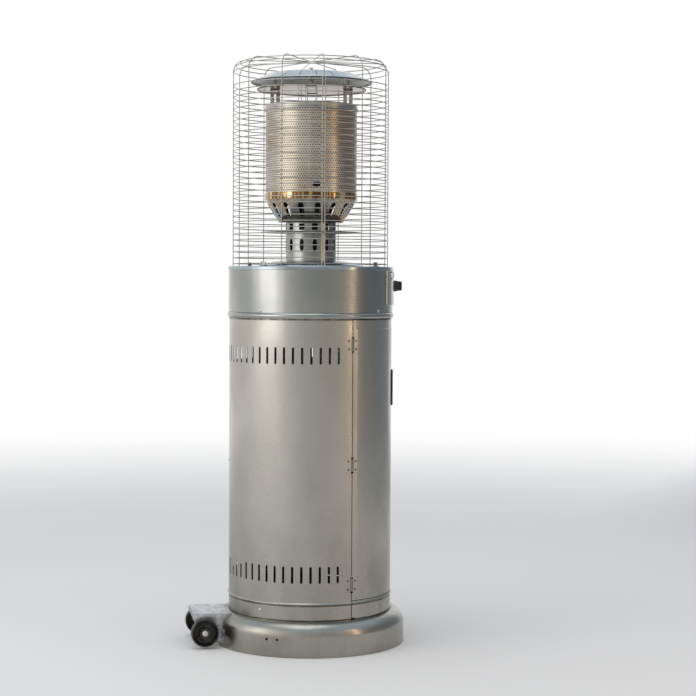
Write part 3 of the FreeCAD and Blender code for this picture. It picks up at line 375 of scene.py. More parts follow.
def galvanised():
    """Galvanised sheet: crystals of slightly different grey."""
    graph = open_material("galvanised")
    place = graph.add("ShaderNodeTexCoord").out("Object")
    crystals = graph.add("ShaderNodeTexVoronoi", None, {"Vector": place, "Scale": 130.0})
    flake = graph.add("ShaderNodeSeparateColor", None, {"Color": crystals.out("Color")}).out(0)
    darkening = noise(graph, 26.0, 4.0, 0.6).smooth(0.45, 0.75)
    tone = blend(graph, darkening * 0.4, blend(graph, flake, *ZINC_TONES), ZINC_DIRT)
    close_material(graph, tone, 0.34 + flake * 0.16 + darkening * 0.15, 0.9, relief=(flake, 0.15, 0.0001))


def sooted(name, pale, dark):
    """Thin sheet beside the flame, dull and nearly without shine."""
    graph = open_material(name)
    patch = noise(graph, 22.0, 4.0, 0.6, (1.0, 1.0, 0.6)).smooth(0.35, 0.70)
    grain = noise(graph, 380.0, 2.0, 0.5)
    close_material(graph, blend(graph, patch, pale, dark), 0.50 + patch * 0.12 + grain * 0.06,
                   0.45, 0.1, (grain, 0.2, 0.00008))


def moulded(name, colour, rough, dust):
    """Moulded plastic with a fine spark-eroded grain and dust in patches."""
    graph = open_material(name)
    grain = noise(graph, 900.0, 2.0, 0.5)
    patch = noise(graph, 38.0, 4.0, 0.6).smooth(0.46, 0.74)
    tone = blend(graph, patch * dust, colour, DRY_DUST)
    close_material(graph, tone, rough + patch * 0.25 * dust + grain * 0.08,
                   0.0, 0.3, (grain, 0.25, 0.00012))


def plain_metal(name, colour, rough):
    """Turned or plated metal with small changes of tone and gloss."""
    graph = open_material(name)
    patch = noise(graph, 60.0, 3.0, 0.6)
    shade = tuple(channel * 0.72 for channel in colour)
    tone = blend(graph, patch.smooth(0.35, 0.75), colour, shade)
    close_material(graph, tone, rough + (patch - 0.5) * 0.16)


def glazed(name, colour, shade):
    """The white glaze of the spark electrode."""
    graph = open_material(name)
    patch = noise(graph, 90.0)
    close_material(graph, blend(graph, patch, colour, shade), 0.15 + patch * 0.15, 0.0)


print("recipes:", ", ".join(recipe.__name__ for recipe in (galvanised, sooted, moulded, plain_metal, glazed)))

# %% [markdown]
# The recipes are then called once for each material of the smaller parts. Colours are what a
# neutral light shows, and a lower roughness means a sharper reflection.

# %% Finishes of the smaller parts

galvanised()
# A near-black sheet for the parts inside the burner: soot, with painted shade of the inside.
sooted("sooted_sheet", (0.085, 0.078, 0.068), (0.03, 0.027, 0.024))
sooted("shield_sheet", (0.20, 0.215, 0.20), (0.12, 0.125, 0.115))
glazed("spark_ceramic", (0.90, 0.89, 0.85), (0.78, 0.75, 0.68))
for name, colour, rough, dust in (
    ("black_plastic", (0.018, 0.018, 0.019), 0.38, 0.10),
    ("wheel_plastic", (0.012, 0.011, 0.010), 0.30, 0.26),
    ("magnet_block", (0.10, 0.10, 0.10), 0.50, 0.15),
):
    moulded(name, colour, rough, dust)
for name, colour, rough in (
    ("guard_wire", (0.42, 0.40, 0.36), 0.20),
    ("plated_button", (0.84, 0.84, 0.84), 0.10),
    ("brass", (0.72, 0.55, 0.28), 0.28),
    ("pipe_aluminium", (0.76, 0.76, 0.77), 0.35),
    ("zinc_steel", (0.64, 0.63, 0.61), 0.14),
    ("blued_steel", (0.25, 0.31, 0.34), 0.24),
    ("hinge_steel", (0.30, 0.29, 0.27), 0.30),
    ("dark_rivet", (0.11, 0.105, 0.10), 0.38),
):
    plain_metal(name, colour, rough)
print(len(FINISH), "finishes so far")

# %% [markdown]
# ### Heat colours
# The cone under the screen and the band on its rim have been hot. Steel then runs through straw,
# brown and blue as its oxide thickens. A ramp of colours over noise gives that: long upright
# streaks on the band and round spots on the cone. The inner side of both is dark with soot and
# painted shade.

# %% Heat-tinted cone and band

BAND_LOW = 1043.0
# The tone of the cup's inner side: soot, with painted shade.
CUP_SOOT_AND_SHADE = (0.022, 0.018, 0.014)
BAND_STREAKS = ((0.36, (0.03, 0.015, 0.01)), (0.44, (0.34, 0.18, 0.07)), (0.49, (0.66, 0.45, 0.18)),
                (0.53, (0.07, 0.03, 0.015)), (0.58, (0.40, 0.22, 0.09)), (0.63, (0.85, 0.70, 0.42)))
CONE_SPOTS = ((0.30, (0.26, 0.255, 0.23)), (0.46, (0.46, 0.42, 0.35)), (0.58, (0.50, 0.36, 0.24)),
              (0.68, (0.15, 0.31, 0.42)))


def heat_tinted():
    """Mirror-bright sheet that the burner has turned to straw, brown and, in spots, blue."""
    graph = open_material("heat_tinted")
    band = coordinates(graph)[2].smooth(BAND_LOW * MM, BAND_LOW * MM + 0.002)
    streak = noise(graph, 40.0, 2.0, 0.5, (1.0, 1.0, 0.12))
    spot = noise(graph, 13.0, 1.0, 0.4, (1.0, 1.0, 1.2))
    # The inner side is darkened: soot, with painted shade.
    soot_and_shade = inward(graph) * INNER_SOOT_AND_SHADE
    tone = blend(graph, band, ramp(graph, spot, CONE_SPOTS), ramp(graph, streak, BAND_STREAKS))
    wipe = wipe_marks(graph)
    close_material(graph, blend(graph, soot_and_shade, tone, CUP_SOOT_AND_SHADE), 0.06 + wipe * 0.10 + soot_and_shade * 0.4,
                   relief=(wipe, 0.10, 0.00008))


heat_tinted()
print("the band's colours start at", BAND_LOW, "mm")

# %% [markdown]
# ### Perforated sheet
# The radiant screen is rolled from sheet with thousands of round holes. As mesh they would be more
# than a tabletop piece can carry, so the material draws them. The way round the axis and the height
# are divided by the pitch of the rows, every second row is shifted by half, and the distance to the
# nearest middle tells hole from metal. Two metres are added to the way round, so that no count is
# below zero.

# %% Rows of round holes

# The holes are painted near black: painted shade of the screen's dark inside.
SCREEN_RADIUS = 107.6
HOLE_PITCH = (0.0060, 0.0052)
HOLE_RADIUS = 0.00175
HOLE_EDGE = 0.0003
WAY_ADDED = 2.0


def perforated(name, pale, warm, dark):
    """Sheet with rows of round holes, near black where a hole is, as painted shade, and warm in patches
    elsewhere.
    """
    graph = open_material(name)
    x, y, z = coordinates(graph)
    way_round = y.apply("ARCTAN2", x) * (SCREEN_RADIUS * MM) + WAY_ADDED
    row = (z / HOLE_PITCH[1]).apply("FLOOR")
    shift = row.apply("MODULO", 2.0) * 0.5
    across = way_round / HOLE_PITCH[0] + shift
    off_middle = (across - across.apply("FLOOR") - 0.5) * HOLE_PITCH[0]
    off_row = (z / HOLE_PITCH[1] - row - 0.5) * HOLE_PITCH[1]
    distance = (off_middle * off_middle + off_row * off_row).apply("SQRT")
    metal = distance.smooth(HOLE_RADIUS - HOLE_EDGE, HOLE_RADIUS + HOLE_EDGE)
    heat = noise(graph, 8.0, stretch=(1.0, 1.0, 0.6)).smooth(0.35, 0.68)
    # Where a hole is, the tone is near black and not metal: painted shade.
    tone = blend(graph, metal, dark, blend(graph, heat, pale, warm))
    close_material(graph, tone, 0.60 - metal * 0.32, metal * 0.97, relief=(metal, 0.35, 0.0003))


# The last colour is the holes' painted shade.
perforated("emitter_mesh", (0.72, 0.67, 0.58), (0.52, 0.42, 0.32), (0.010, 0.009, 0.008))
print(len(FINISH), "finishes made")

# %% [markdown]
# ### Finishes for the carried-over solids
# Pieces whose CAD shape is right keep it and only get a better finish. The record says which
# finish each node has. Three thin parts inside the burner get the near-black sooted sheet whatever
# they were made of: soot, with painted shade of the burner's inside.

# %% Paint the CAD nodes

SLOT_OF = {entry["node"]: entry["material_slot"] for entry in frame["record"]["subparts"]}
# Parts inside the burner that get the near-black sooted sheet: soot, with painted shade.
SOOT_AND_SHADE_NODES = ("mixer_tube", "port_plate", "pilot_bracket")

for name, node in frame["nodes"].items():
    finish = "sooted_sheet" if name in SOOT_AND_SHADE_NODES else SLOT_OF[name]
    node.data.materials.clear()
    node.data.materials.append(FINISH[finish])
print(len(frame["nodes"]), "nodes painted")

# %% [markdown]
# ## From outlines to sheet metal
# Most of the heater was pressed or spun from thin sheet. Three helpers cover that: a lathe that
# turns an outline round the axis, a grid that is bent into a sheet and may leave out some of its
# squares, and a pierced cell, whose hole is joined to its square border by a ring of quads. Quads
# that follow the curve keep the reflections on the metal clean.

# %% Making, joining and dressing pieces


def show(name, mesh):
    """Put a mesh into the scene as an object."""
    piece = bpy.data.objects.new(name, mesh)
    bpy.context.scene.collection.objects.link(piece)
    return piece


def add_mesh(name, vertices, faces, merge=0.00001):
    """A mesh object from points in metres, with doubles merged and normals facing outwards."""
    mesh = bpy.data.meshes.new(name)
    mesh.from_pydata(vertices, [], faces)
    work = bmesh.new()
    work.from_mesh(mesh)
    bmesh.ops.remove_doubles(work, verts=work.verts, dist=merge)
    bmesh.ops.dissolve_degenerate(work, edges=work.edges, dist=merge)
    bmesh.ops.recalc_face_normals(work, faces=work.faces)
    work.to_mesh(mesh)
    work.free()
    return show(name, mesh)


def join(name, pieces):
    """Join several mesh objects into one."""
    work = bmesh.new()
    for piece in pieces:
        work.from_mesh(piece.data)
        bpy.data.objects.remove(piece)
    mesh = bpy.data.meshes.new(name)
    work.to_mesh(mesh)
    work.free()
    return show(name, mesh)


def turn(piece, degrees, axis):
    piece.data.transform(Matrix.Rotation(math.radians(degrees), 4, axis))
    return piece


def shift(piece, point):
    piece.data.transform(Matrix.Translation(point))
    return piece


def dress(piece, node=None, body="heater", slot=None, degrees=32.0, finish=None):
    """Give a finished piece its finish and its body, and hide the CAD node that it stands for."""
    slot = slot or SLOT_OF[node]
    for polygon in piece.data.polygons:
        polygon.use_smooth = True
    piece.data.set_sharp_from_angle(angle=math.radians(degrees))
    piece.data.materials.clear()
    piece.data.materials.append(FINISH[finish or slot])
    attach(piece, body)
    if node:
        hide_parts(node)
    return piece


# %% [markdown]
# Modifiers stand in for a sheet-metal worker's other tools: Boolean drills, Solidify gives a sheet
# its thickness, and Bevel eases an edge so that it catches the light. Each is turned into plain mesh
# at once. Three CAD solids are right but for their sharp edges. A copy of such a solid, with its edges
# eased, serves as the piece.

# %% Modifiers that become plain mesh

EASED_ANGLE = 40.0


def freeze(piece):
    """Turn a piece's modifiers into plain mesh."""
    graph = bpy.context.evaluated_depsgraph_get()
    mesh = bpy.data.meshes.new_from_object(piece.evaluated_get(graph))
    piece.modifiers.clear()
    old = piece.data
    piece.data = mesh
    bpy.data.meshes.remove(old)
    return piece


def cut(piece, cutter):
    """Take the cutter's volume out of the piece."""
    boolean = piece.modifiers.new("Cut", "BOOLEAN")
    boolean.operation = "DIFFERENCE"
    boolean.solver = "EXACT"
    boolean.object = cutter
    freeze(piece)
    bpy.data.objects.remove(cutter)
    return piece


def thicken(piece, thickness, offset=-1.0, even=True):
    solidify = piece.modifiers.new("Thickness", "SOLIDIFY")
    solidify.thickness = thickness * MM
    solidify.offset = offset
    solidify.use_even_offset = even
    return freeze(piece)


def ease_edges(piece, width, angle):
    bevel = piece.modifiers.new("Bevel", "BEVEL")
    bevel.width = width * MM
    bevel.segments = 2
    bevel.limit_method = "ANGLE"
    bevel.angle_limit = math.radians(angle)
    return freeze(piece)


def eased_node(node, width, finish=None):
    """A copy of a CAD node with its loose triangles merged and its edges eased."""
    mesh = frame["nodes"][node].data.copy()
    work = bmesh.new()
    work.from_mesh(mesh)
    bmesh.ops.remove_doubles(work, verts=work.verts, dist=0.000005)
    bmesh.ops.dissolve_limit(work, angle_limit=math.radians(1.0), verts=work.verts, edges=work.edges)
    work.to_mesh(mesh)
    work.free()
    piece = ease_edges(show(node + "_eased", mesh), width, EASED_ANGLE)
    return dress(piece, node, finish=finish)


print("edges sharper than", EASED_ANGLE, "degrees are eased")

# %% [markdown]
# Outlines are lists of (radius, height) in millimetres, because that is how a turned part is drawn.
# An arc rounds a corner of such an outline, and lay_lines spreads grid lines so that some of them
# fall exactly on a crease or an edge.

# %% Points, arcs and grid lines


def metres(x, y, z):
    return (x * MM, y * MM, z * MM)


def on_axis(radius, angle, z):
    """A point by its radius, its angle in degrees and its height, given in mm, in metres."""
    way = math.radians(angle)
    return metres(radius * math.cos(way), radius * math.sin(way), z)


def arc(centre_r, centre_z, radius, start, end, steps, rise=None):
    """Points on an arc, or with another rise on an ellipse, from one angle in degrees to another."""
    rise = radius if rise is None else rise
    angles = [math.radians(start + (end - start) * i / steps) for i in range(steps + 1)]
    return [(centre_r + radius * math.cos(way), centre_z + rise * math.sin(way)) for way in angles]


def lay_lines(marks, step):
    """Grid lines at every mark, with even lines between them no further apart than the step."""
    lines = [marks[0]]
    for low, high in zip(marks, marks[1:]):
        count = max(1, math.ceil((high - low) / step - 1e-6))
        lines += [low + (high - low) * (i + 1) / count for i in range(count)]
    return lines


def either_side(levels, half):
    return [level + side * half for level in levels for side in (-1, 1)]


print("a quarter turn in three steps is", [round(r, 2) for r, z in arc(0.0, 0.0, 10.0, 0.0, 90.0, 3)])
print("lines at 0, 4 and 10, no further apart than 3:", lay_lines([0.0, 4.0, 10.0], 3.0))

# %% [markdown]
# A lathe turns such an outline round the axis, as a spinner does with a disc of metal. A loft joins
# loops of equally many points, for mouldings whose section changes on the way. Both are written out
# face by face, so that the seam closes without doubles and no tool of Edit Mode is needed.

# %% Lathe and loft

ON_AXIS = 1e-9


def lathe(name, outline, steps, closed=True):
    """Turn an outline of (radius, height) round the axis. It may start and end on the axis."""
    count = len(outline)
    vertices = [on_axis(r, 360.0 * i / steps, z) for i in range(steps) for r, z in outline]
    faces = []
    for i in range(steps):
        here, there = i * count, (i + 1) % steps * count
        for k in range(count if closed else count - 1):
            after = (k + 1) % count
            if outline[k][0] > ON_AXIS or outline[after][0] > ON_AXIS:
                faces.append((here + k, there + k, there + after, here + after))
    return add_mesh(name, vertices, faces)


def loft(name, loops, cap_first=False):
    """Join loops of equally many points, in metres, by quads, and close the last of them."""
    count = len(loops[0])
    vertices = [point for loop in loops for point in loop]
    last = len(vertices) - count
    faces = []
    for here in range(0, last, count):
        there = here + count
        for i in range(count):
            after = (i + 1) % count
            faces.append((here + i, here + after, there + after, there + i))
    faces.append(tuple(range(last, last + count)))
    if cap_first:
        faces.append(tuple(range(count)))
    return add_mesh(name, vertices, faces)


trial = lathe("trial", [(10.0, 0.0), (12.0, 0.0), (12.0, 5.0), (10.0, 5.0)], 24)
print("a ring of four points in 24 steps has", len(trial.data.polygons), "faces")
bpy.data.objects.remove(trial)

# %% [markdown]
# Rolled sheet starts as a flat grid. place(u, v) then says where each of its points ends up, so one
# grid serves a cylinder, a cone and a bead alike. Gaps leave squares out, for notches and openings.

# %% Bent grids


def bent_grid(columns, rows, place, gaps=()):
    """Vertices and faces of a grid that place(u, v) bends, without the squares inside the gaps."""

    def open_here(u, v):
        return any(left < u < right and low < v < high for left, right, low, high in gaps)

    vertices = [place(u, v) for v in rows for u in columns]
    faces = []
    wide = len(columns)
    for j in range(len(rows) - 1):
        for i in range(wide - 1):
            if not open_here((columns[i] + columns[i + 1]) / 2.0, (rows[j] + rows[j + 1]) / 2.0):
                corner = j * wide + i
                faces.append((corner, corner + 1, corner + wide + 1, corner + wide))
    return vertices, faces


flat_squares = bent_grid([0.0, 1.0, 2.0], [0.0, 1.0], lambda u, v: (u, v, 0.0), [(0.0, 1.0, 0.0, 1.0)])[1]
print("two squares with a gap over one of them leave", len(flat_squares), "face")

# %% [markdown]
# Ovals and slots need a finer border than a square. A pierced cell gives it: its outline has four
# spans a side, so it fits between the lines of the grid, and its hole has as many points.

# %% Pierced cells and their holes

HOLE_POINTS = 16
CELL_SPANS = 4


def pierced_cell(left, right, low, high, hole, place):
    """A square cell, four spans a side, whose hole is sixteen points round its middle."""
    corners = [(left, low), (right, low), (right, high), (left, high)]
    border = []
    for (u, v), (next_u, next_v) in zip(corners, corners[1:] + corners[:1]):
        border += [(u + (next_u - u) * i / CELL_SPANS, v + (next_v - v) * i / CELL_SPANS)
                   for i in range(CELL_SPANS)]
    middle_u, middle_v = (left + right) / 2.0, (low + high) / 2.0
    inner = [(middle_u + du, middle_v + dv) for du, dv in hole]
    count = len(border)
    vertices = [place(u, v) for u, v in border + inner]
    faces = [(i, (i + 1) % count, count + (i + 1) % count, count + i) for i in range(count)]
    return vertices, faces


def oval(half_wide, half_high, power=2.0, count=HOLE_POINTS, first=225.0):
    """Points of an oval from its lower left, or of a squarer form for a higher power."""
    points = []
    for i in range(count):
        way = math.radians(first + 360.0 / count * i)
        c, s = math.cos(way), math.sin(way)
        points.append((half_wide * math.copysign(abs(c) ** (2.0 / power), c),
                       half_high * math.copysign(abs(s) ** (2.0 / power), s)))
    return points


def slot_hole(half_wide, half_high, wide_scale=1.0):
    """Sixteen points of a slot with round ends. The scale turns its width into the grid's units."""
    straight = half_high - half_wide
    below = [(225.0 + 22.5 * i, -straight) for i in range(5)]
    right = [(360.0, -straight), (0.0, 0.0), (0.0, straight)]
    above = [(45.0 + 22.5 * i, straight) for i in range(5)]
    left = [(180.0, straight), (180.0, 0.0), (180.0, -straight)]
    points = []
    for angle, lift in below + right + above + left:
        way = math.radians(angle)
        points.append((half_wide * math.cos(way) * wide_scale, half_wide * math.sin(way) + lift))
    return points


print("a slot hole has", len(slot_hole(2.8, 19.5)), "points, an oval one", len(oval(5.4, 16.4)))

# %% [markdown]
# A sheet is now a grid with its gaps, the cells that fill some of them, and a thickness. Solidify
# gives the thickness, after the doubles between grid and cells are merged and the faces point
# outwards, because it would otherwise thicken some faces to the wrong side.

# %% Sheet metal with gaps and cells

SEAM_MERGE = 0.00002


def cells_round(count, half):
    """Middles of cells spread evenly round the axis, and the grid lines through and between them."""
    step = 360.0 / count
    middles = [90.0 + step * i for i in range(count)]
    marks = [90.0 - step / 2.0]
    for middle in middles:
        marks += [middle - half + half * i / 2.0 for i in range(CELL_SPANS + 1)] + [middle + step / 2.0]
    return middles, marks


def sheet(name, thickness, place, columns, rows, gaps=(), cells=()):
    """A bent grid with gaps and pierced cells, made one sheet whose thickness lies inwards.

    A gap is (left, right, low, high). A cell is the same four numbers and the points of its hole."""
    vertices, faces = bent_grid(columns, rows, place, [*gaps, *(cell[:4] for cell in cells)])
    for cell in cells:
        points, quads = pierced_cell(*cell, place)
        faces += [tuple(len(vertices) + index for index in quad) for quad in quads]
        vertices += points
    piece = add_mesh(name, vertices, faces, SEAM_MERGE)
    face = piece.data.polygons[0]
    if face.normal.dot(Vector((face.center.x, face.center.y, 0.0))) < 0.0:
        piece.data.flip_normals()
    return thicken(piece, thickness)


print("four cells round the axis have their middles at", cells_round(4, 9.0)[0], "degrees")

# %% [markdown]
# ## The floor pan
# The pan is one pressed piece: an upright skirt, a round shoulder and a flat deck that the bottle
# stands on. A lathe is the natural tool for anything pressed round. The shoulder is a quarter of
# an ellipse, which gives the broad soft highlight that the real one shows. Four small holes are
# drilled in its skirt.

# %% Floor pan

PAN_RADIUS = 224.0
PAN_SKIRT_TOP = 44.0
DECK_RADIUS = 193.0
DECK_Z = 78.0
PAN_SHEET = 1.2
PAN_HOLES = [(3.0, 90.0 + side, 40.0) for side in (-62.2, -55.6, 55.6, 62.2)]


def point_outwards(piece, angle, z):
    """Lay a piece that was turned about Z along a level ray from the axis."""
    return shift(turn(turn(piece, 90.0, "Y"), angle, "Z"), metres(0.0, 0.0, z))


def bore(piece, holes, near, far, steps):
    """Bore holes along rays from the axis. Each hole is a radius, an angle and a height."""
    drills = []
    for radius, angle, z in holes:
        drill = lathe("drill", [(0.0, near), (radius, near), (radius, far), (0.0, far)], steps)
        drills.append(point_outwards(drill, angle, z))
    return cut(piece, join("drills", drills))


def pan_shoulder(inset):
    """The shoulder of the pan's outer skin, or of its inner skin at an inset."""
    return arc(DECK_RADIUS, PAN_SKIRT_TOP, PAN_RADIUS - DECK_RADIUS - inset, 0.0, 90.0, 14,
               DECK_Z - PAN_SKIRT_TOP - inset)


def make_pan():
    hem = arc(PAN_RADIUS - 1.3, 1.3, 1.3, -90.0, 0.0, 4)
    outer = pan_shoulder(0.0) + [(0.0, DECK_Z)]
    inner = [(0.0, DECK_Z - PAN_SHEET)] + pan_shoulder(PAN_SHEET)[::-1] + [(PAN_RADIUS - PAN_SHEET, 1.2)]
    turned_in = [(PAN_RADIUS - 9.0, 1.2), (PAN_RADIUS - 9.0, 0.0)]
    pan = lathe("pan", hem + outer + inner + turned_in, 192)
    return dress(bore(pan, PAN_HOLES, PAN_RADIUS - 8.0, PAN_RADIUS + 8.0, 20), "base_pan")


pan = make_pan()
print("the pan has", len(pan.data.polygons), "faces")

# %% [markdown]
# ## The cabinet
# One long sheet wraps round the back and both sides, with two rows of upright vent slots. Cutting
# sixty-six slots with a Boolean would leave long thin faces that spoil the reflections, so every
# slot is a pierced cell in a regular grid instead, and the bead near the foot is a ripple of the
# same grid.

# %% Wrap-round sheet

CABINET_RADIUS = 192.0
CABINET_TOP = 796.0
SHEET = 1.2
FRONT = -90.0
HINGE_ANGLE = -158.5
LATCH_ANGLE = -21.5
SHELL_GAP = 0.45
SLOT_STEP = 6.3
SLOT_COUNT = 33
SLOT_HALF = 19.5
SLOT_HALF_WIDTH = 2.8
SLOT_LEVELS = (183.3, 683.1)
CELL_HALF = 27.0
BEAD_Z = 116.0
BEAD_HALF = 3.4
BEAD_OUT = 2.4
BEAD_ROWS = [BEAD_Z + 0.85 * i for i in range(-4, 5)]
HINGE_LEVELS = (157.0, 432.0, 707.5)
NOTCH_HALF = 18.7
NOTCH_DEPTH = 3.6
DEGREE = math.radians(CABINET_RADIUS)


def cabinet_point(angle, z):
    """A point of the wrapped sheet, which stands out in a rolled bead near the foot."""
    away = abs(z - BEAD_Z) / BEAD_HALF
    bead = 0.0 if away >= 1.0 else BEAD_OUT * math.cos(away * math.pi / 2.0) ** 1.4
    return on_axis(CABINET_RADIUS + bead, angle, z)


def notches(left, right):
    """Gaps for the three hinges."""
    return [(left, right, level - NOTCH_HALF, level + NOTCH_HALF) for level in HINGE_LEVELS]


def make_rear_shell():
    first = 90.0 - SLOT_STEP * SLOT_COUNT / 2.0
    edges = [first + SLOT_STEP * i for i in range(SLOT_COUNT + 1)]
    start, end = LATCH_ANGLE + SHELL_GAP, HINGE_ANGLE + 360.0 - SHELL_GAP
    notch = end - NOTCH_DEPTH / DEGREE + SHELL_GAP
    columns = lay_lines([start, *edges, notch, end], SLOT_STEP / 4.0)
    rows = [DECK_Z + 0.1, CABINET_TOP] + BEAD_ROWS
    rows += either_side(HINGE_LEVELS, NOTCH_HALF) + either_side(SLOT_LEVELS, CELL_HALF)
    hole = slot_hole(SLOT_HALF_WIDTH, SLOT_HALF, 1.0 / DEGREE)
    cells = [(left, right, level - CELL_HALF, level + CELL_HALF, hole)
             for level in SLOT_LEVELS for left, right in zip(edges, edges[1:])]
    wrap = sheet("cabinet_wrap", SHEET, cabinet_point, columns, lay_lines(sorted(rows), 40.0),
                 notches(notch, end), cells)
    return dress(wrap, "rear_shell")


shell = make_rear_shell()
print("the wrap-round sheet has", len(shell.data.polygons), "faces")

# %% [markdown]
# A low apron closes the front under the door. It carries the same bead, so its grid is bent by the
# same function, and a small corner is left out beside the wrap-round sheet.

# %% Apron

APRON_GAP = 0.15
APRON_TOP = 120.0
APRON_CUT = (2.6, 3.5)


def make_lower_apron():
    wide, high = APRON_CUT
    low = DECK_Z + 0.1
    columns = lay_lines([HINGE_ANGLE + APRON_GAP, HINGE_ANGLE + wide, LATCH_ANGLE - APRON_GAP], 2.0)
    rows = lay_lines([low, DECK_Z + high] + BEAD_ROWS + [APRON_TOP], 12.0)
    corner = (HINGE_ANGLE, HINGE_ANGLE + wide, DECK_Z, DECK_Z + high)
    return dress(sheet("apron", SHEET, cabinet_point, columns, rows, [corner]), "lower_apron")


apron = make_lower_apron()
print("the apron has", len(apron.data.polygons), "faces")

# %% [markdown]
# ## The door
# The door is the same kind of sheet, but its border is pressed: the two upright edges fall away as
# flat bevels, and the top and bottom are set back by less than a millimetre. Such small steps are
# nearly invisible as shapes, yet they break the reflection into the fine lines that are seen on
# the real door. Grid lines are laid exactly on the creases.

# %% Door skin

DOOR_BOTTOM = 121.5
DOOR_TOP = 765.0
DOOR_GAP = 0.3
BORDER_DROP = 1.3
BORDER_WIDTH = 12.6
STEP_DOWN = 0.6
STEP_LEVELS = (125.2, 743.2)
STEP_ROWS = [125.0, 125.5, 743.0, 743.5]
CREASE = 0.12
HANDLE_Z = 602.0
HANDLE_HOLE = (40.5, 31.5)


def door_point(angle, z):
    edge = min(angle - HINGE_ANGLE, LATCH_ANGLE - angle) * DEGREE
    fall = BORDER_DROP * max(0.0, 1.0 - edge / BORDER_WIDTH)
    if not STEP_LEVELS[0] < z < STEP_LEVELS[1]:
        fall = max(fall, STEP_DOWN)
    return on_axis(CABINET_RADIUS - fall, angle, z)


def make_door():
    half = math.degrees(HANDLE_HOLE[0] / CABINET_RADIUS)
    handle_low, handle_high = HANDLE_Z - HANDLE_HOLE[1], HANDLE_Z + HANDLE_HOLE[1]
    low, high = HINGE_ANGLE + DOOR_GAP, LATCH_ANGLE - DOOR_GAP
    border = BORDER_WIDTH / DEGREE
    notch = low + NOTCH_DEPTH / DEGREE - DOOR_GAP
    columns = lay_lines([low, notch, HINGE_ANGLE + border, HINGE_ANGLE + border + CREASE, FRONT - half,
                         FRONT + half, LATCH_ANGLE - border - CREASE, LATCH_ANGLE - border, high], 1.6)
    rows = [DOOR_BOTTOM, DOOR_TOP, handle_low, handle_high] + STEP_ROWS
    rows += either_side(HINGE_LEVELS, NOTCH_HALF)
    gaps = notches(low, notch) + [(FRONT - half, FRONT + half, handle_low, handle_high)]
    skin = sheet("door_skin", SHEET, door_point, columns, lay_lines(sorted(rows), 40.0), gaps)
    return dress(skin, "door", "door", degrees=3.5)


door = make_door()
print("the door has", len(door.data.polygons), "faces")

# %% [markdown]
# ## The door's pull
# A recessed pull is a moulding with a rounded frame on the outside and a deep pocket behind it,
# with a lip to hook the fingers on. It is lofted: rounded rectangles of changing size are stacked
# from the frame down into the pocket, and each is bent to the door's curve.

# %% Recessed pull

POCKET_WALL = 1.4
PULL_SIZES = ((50.2, 42.0, 8.0, -0.4), (50.2, 42.0, 8.0, 1.9), (49.4, 41.2, 7.4, 2.9), (47.8, 39.6, 6.8, 3.2),
              (42.6, 34.4, 6.4, 3.2), (40.6, 32.4, 6.0, 2.6), (38.6, 30.0, 5.4, 0.6), (38.0, 29.0, 5.0, -4.0),
              (37.0, 28.0, 5.0, -17.0), (35.6, 26.6, 6.0, -19.4), (32.0, 23.0, 6.0, -20.4))
LIP_LINE = ((29.0, 1.8), (29.0, 2.4), (20.0, 2.7), (13.5, 2.4), (12.0, 1.2), (12.0, -5.0), (13.8, -5.6),
            (15.2, -4.6), (15.4, 0.0), (29.0, 0.4))


def rounded_rectangle(half_wide, half_high, corner, steps=6, along=12):
    """A loop of four arcs. Points along the straight sides let it follow the door's curve."""
    points = []
    for quarter, (right, up) in enumerate(((1, 1), (-1, 1), (-1, -1), (1, -1))):
        points += arc(right * (half_wide - corner), up * (half_high - corner), corner,
                      90.0 * quarter, 90.0 * quarter + 90.0, steps)
    loop = []
    for index, (here, there) in enumerate(zip(points, points[1:] + points[:1])):
        parts = along if index % (steps + 1) == steps else 1
        loop += [(here[0] + (there[0] - here[0]) * i / parts, here[1] + (there[1] - here[1]) * i / parts)
                 for i in range(parts)]
    return loop


def on_door_face(x, z, depth):
    return metres(x, -(math.sqrt(CABINET_RADIUS ** 2 - x * x) + depth), HANDLE_Z + z)


def make_pull():
    loops = [[on_door_face(x, z, depth) for x, z in rounded_rectangle(wide, high, corner)]
             for wide, high, corner, depth in PULL_SIZES]
    pocket = thicken(loft("pull_pocket", loops), POCKET_WALL, 0.0, False)
    lip = loft("pull_lip", [[on_door_face(x, z, depth) for z, depth in LIP_LINE]
                            for x in lay_lines([-37.8, 37.8], 4.0)], True)
    return dress(join("door_pull", [pocket, lip]), "door_handle", "door", degrees=38.0)


pull = make_pull()
print("the pull has", len(pull.data.polygons), "faces")

# %% [markdown]
# ## The control head
# Above the cabinet sits a drum of the same sheet, with a rolled bead at its foot that hides the
# joint. The bead is part of the turned outline. The two holes behind the panel are bored with a
# Boolean, because they lie under the panel and never show their edges.

# %% Drum

HEAD_RADIUS = 193.9
HEAD_BOTTOM = 766.5
HEAD_TOP = 887.0
KNOB_Z = 842.0
IGNITER_ANGLE = FRONT - 25.0
IGNITER_Z = 866.5
CONTROL_HOLES = [(6.0, FRONT, KNOB_Z), (9.4, IGNITER_ANGLE, IGNITER_Z)]
DRILL = (170.0, 215.0, 32)


def make_drum():
    r = HEAD_RADIUS
    steps = 12
    rolled = [(r + 2.8 * math.sin(math.pi * i / steps) ** 0.7, HEAD_BOTTOM + 0.5 + 12.0 * i / steps)
              for i in range(steps + 1)]
    outer = rolled + [(r, 779.6), (r, 799.0), (r, 875.5), (r, HEAD_TOP - 1.4)]
    drum = lathe("drum", outer + [(r - SHEET, HEAD_TOP - 1.4), (r - SHEET, HEAD_BOTTOM + 0.5)], 160)
    return dress(bore(drum, CONTROL_HOLES, *DRILL), "head_drum", degrees=24.0)


drum = make_drum()
print("the drum has", len(drum.data.polygons), "faces")

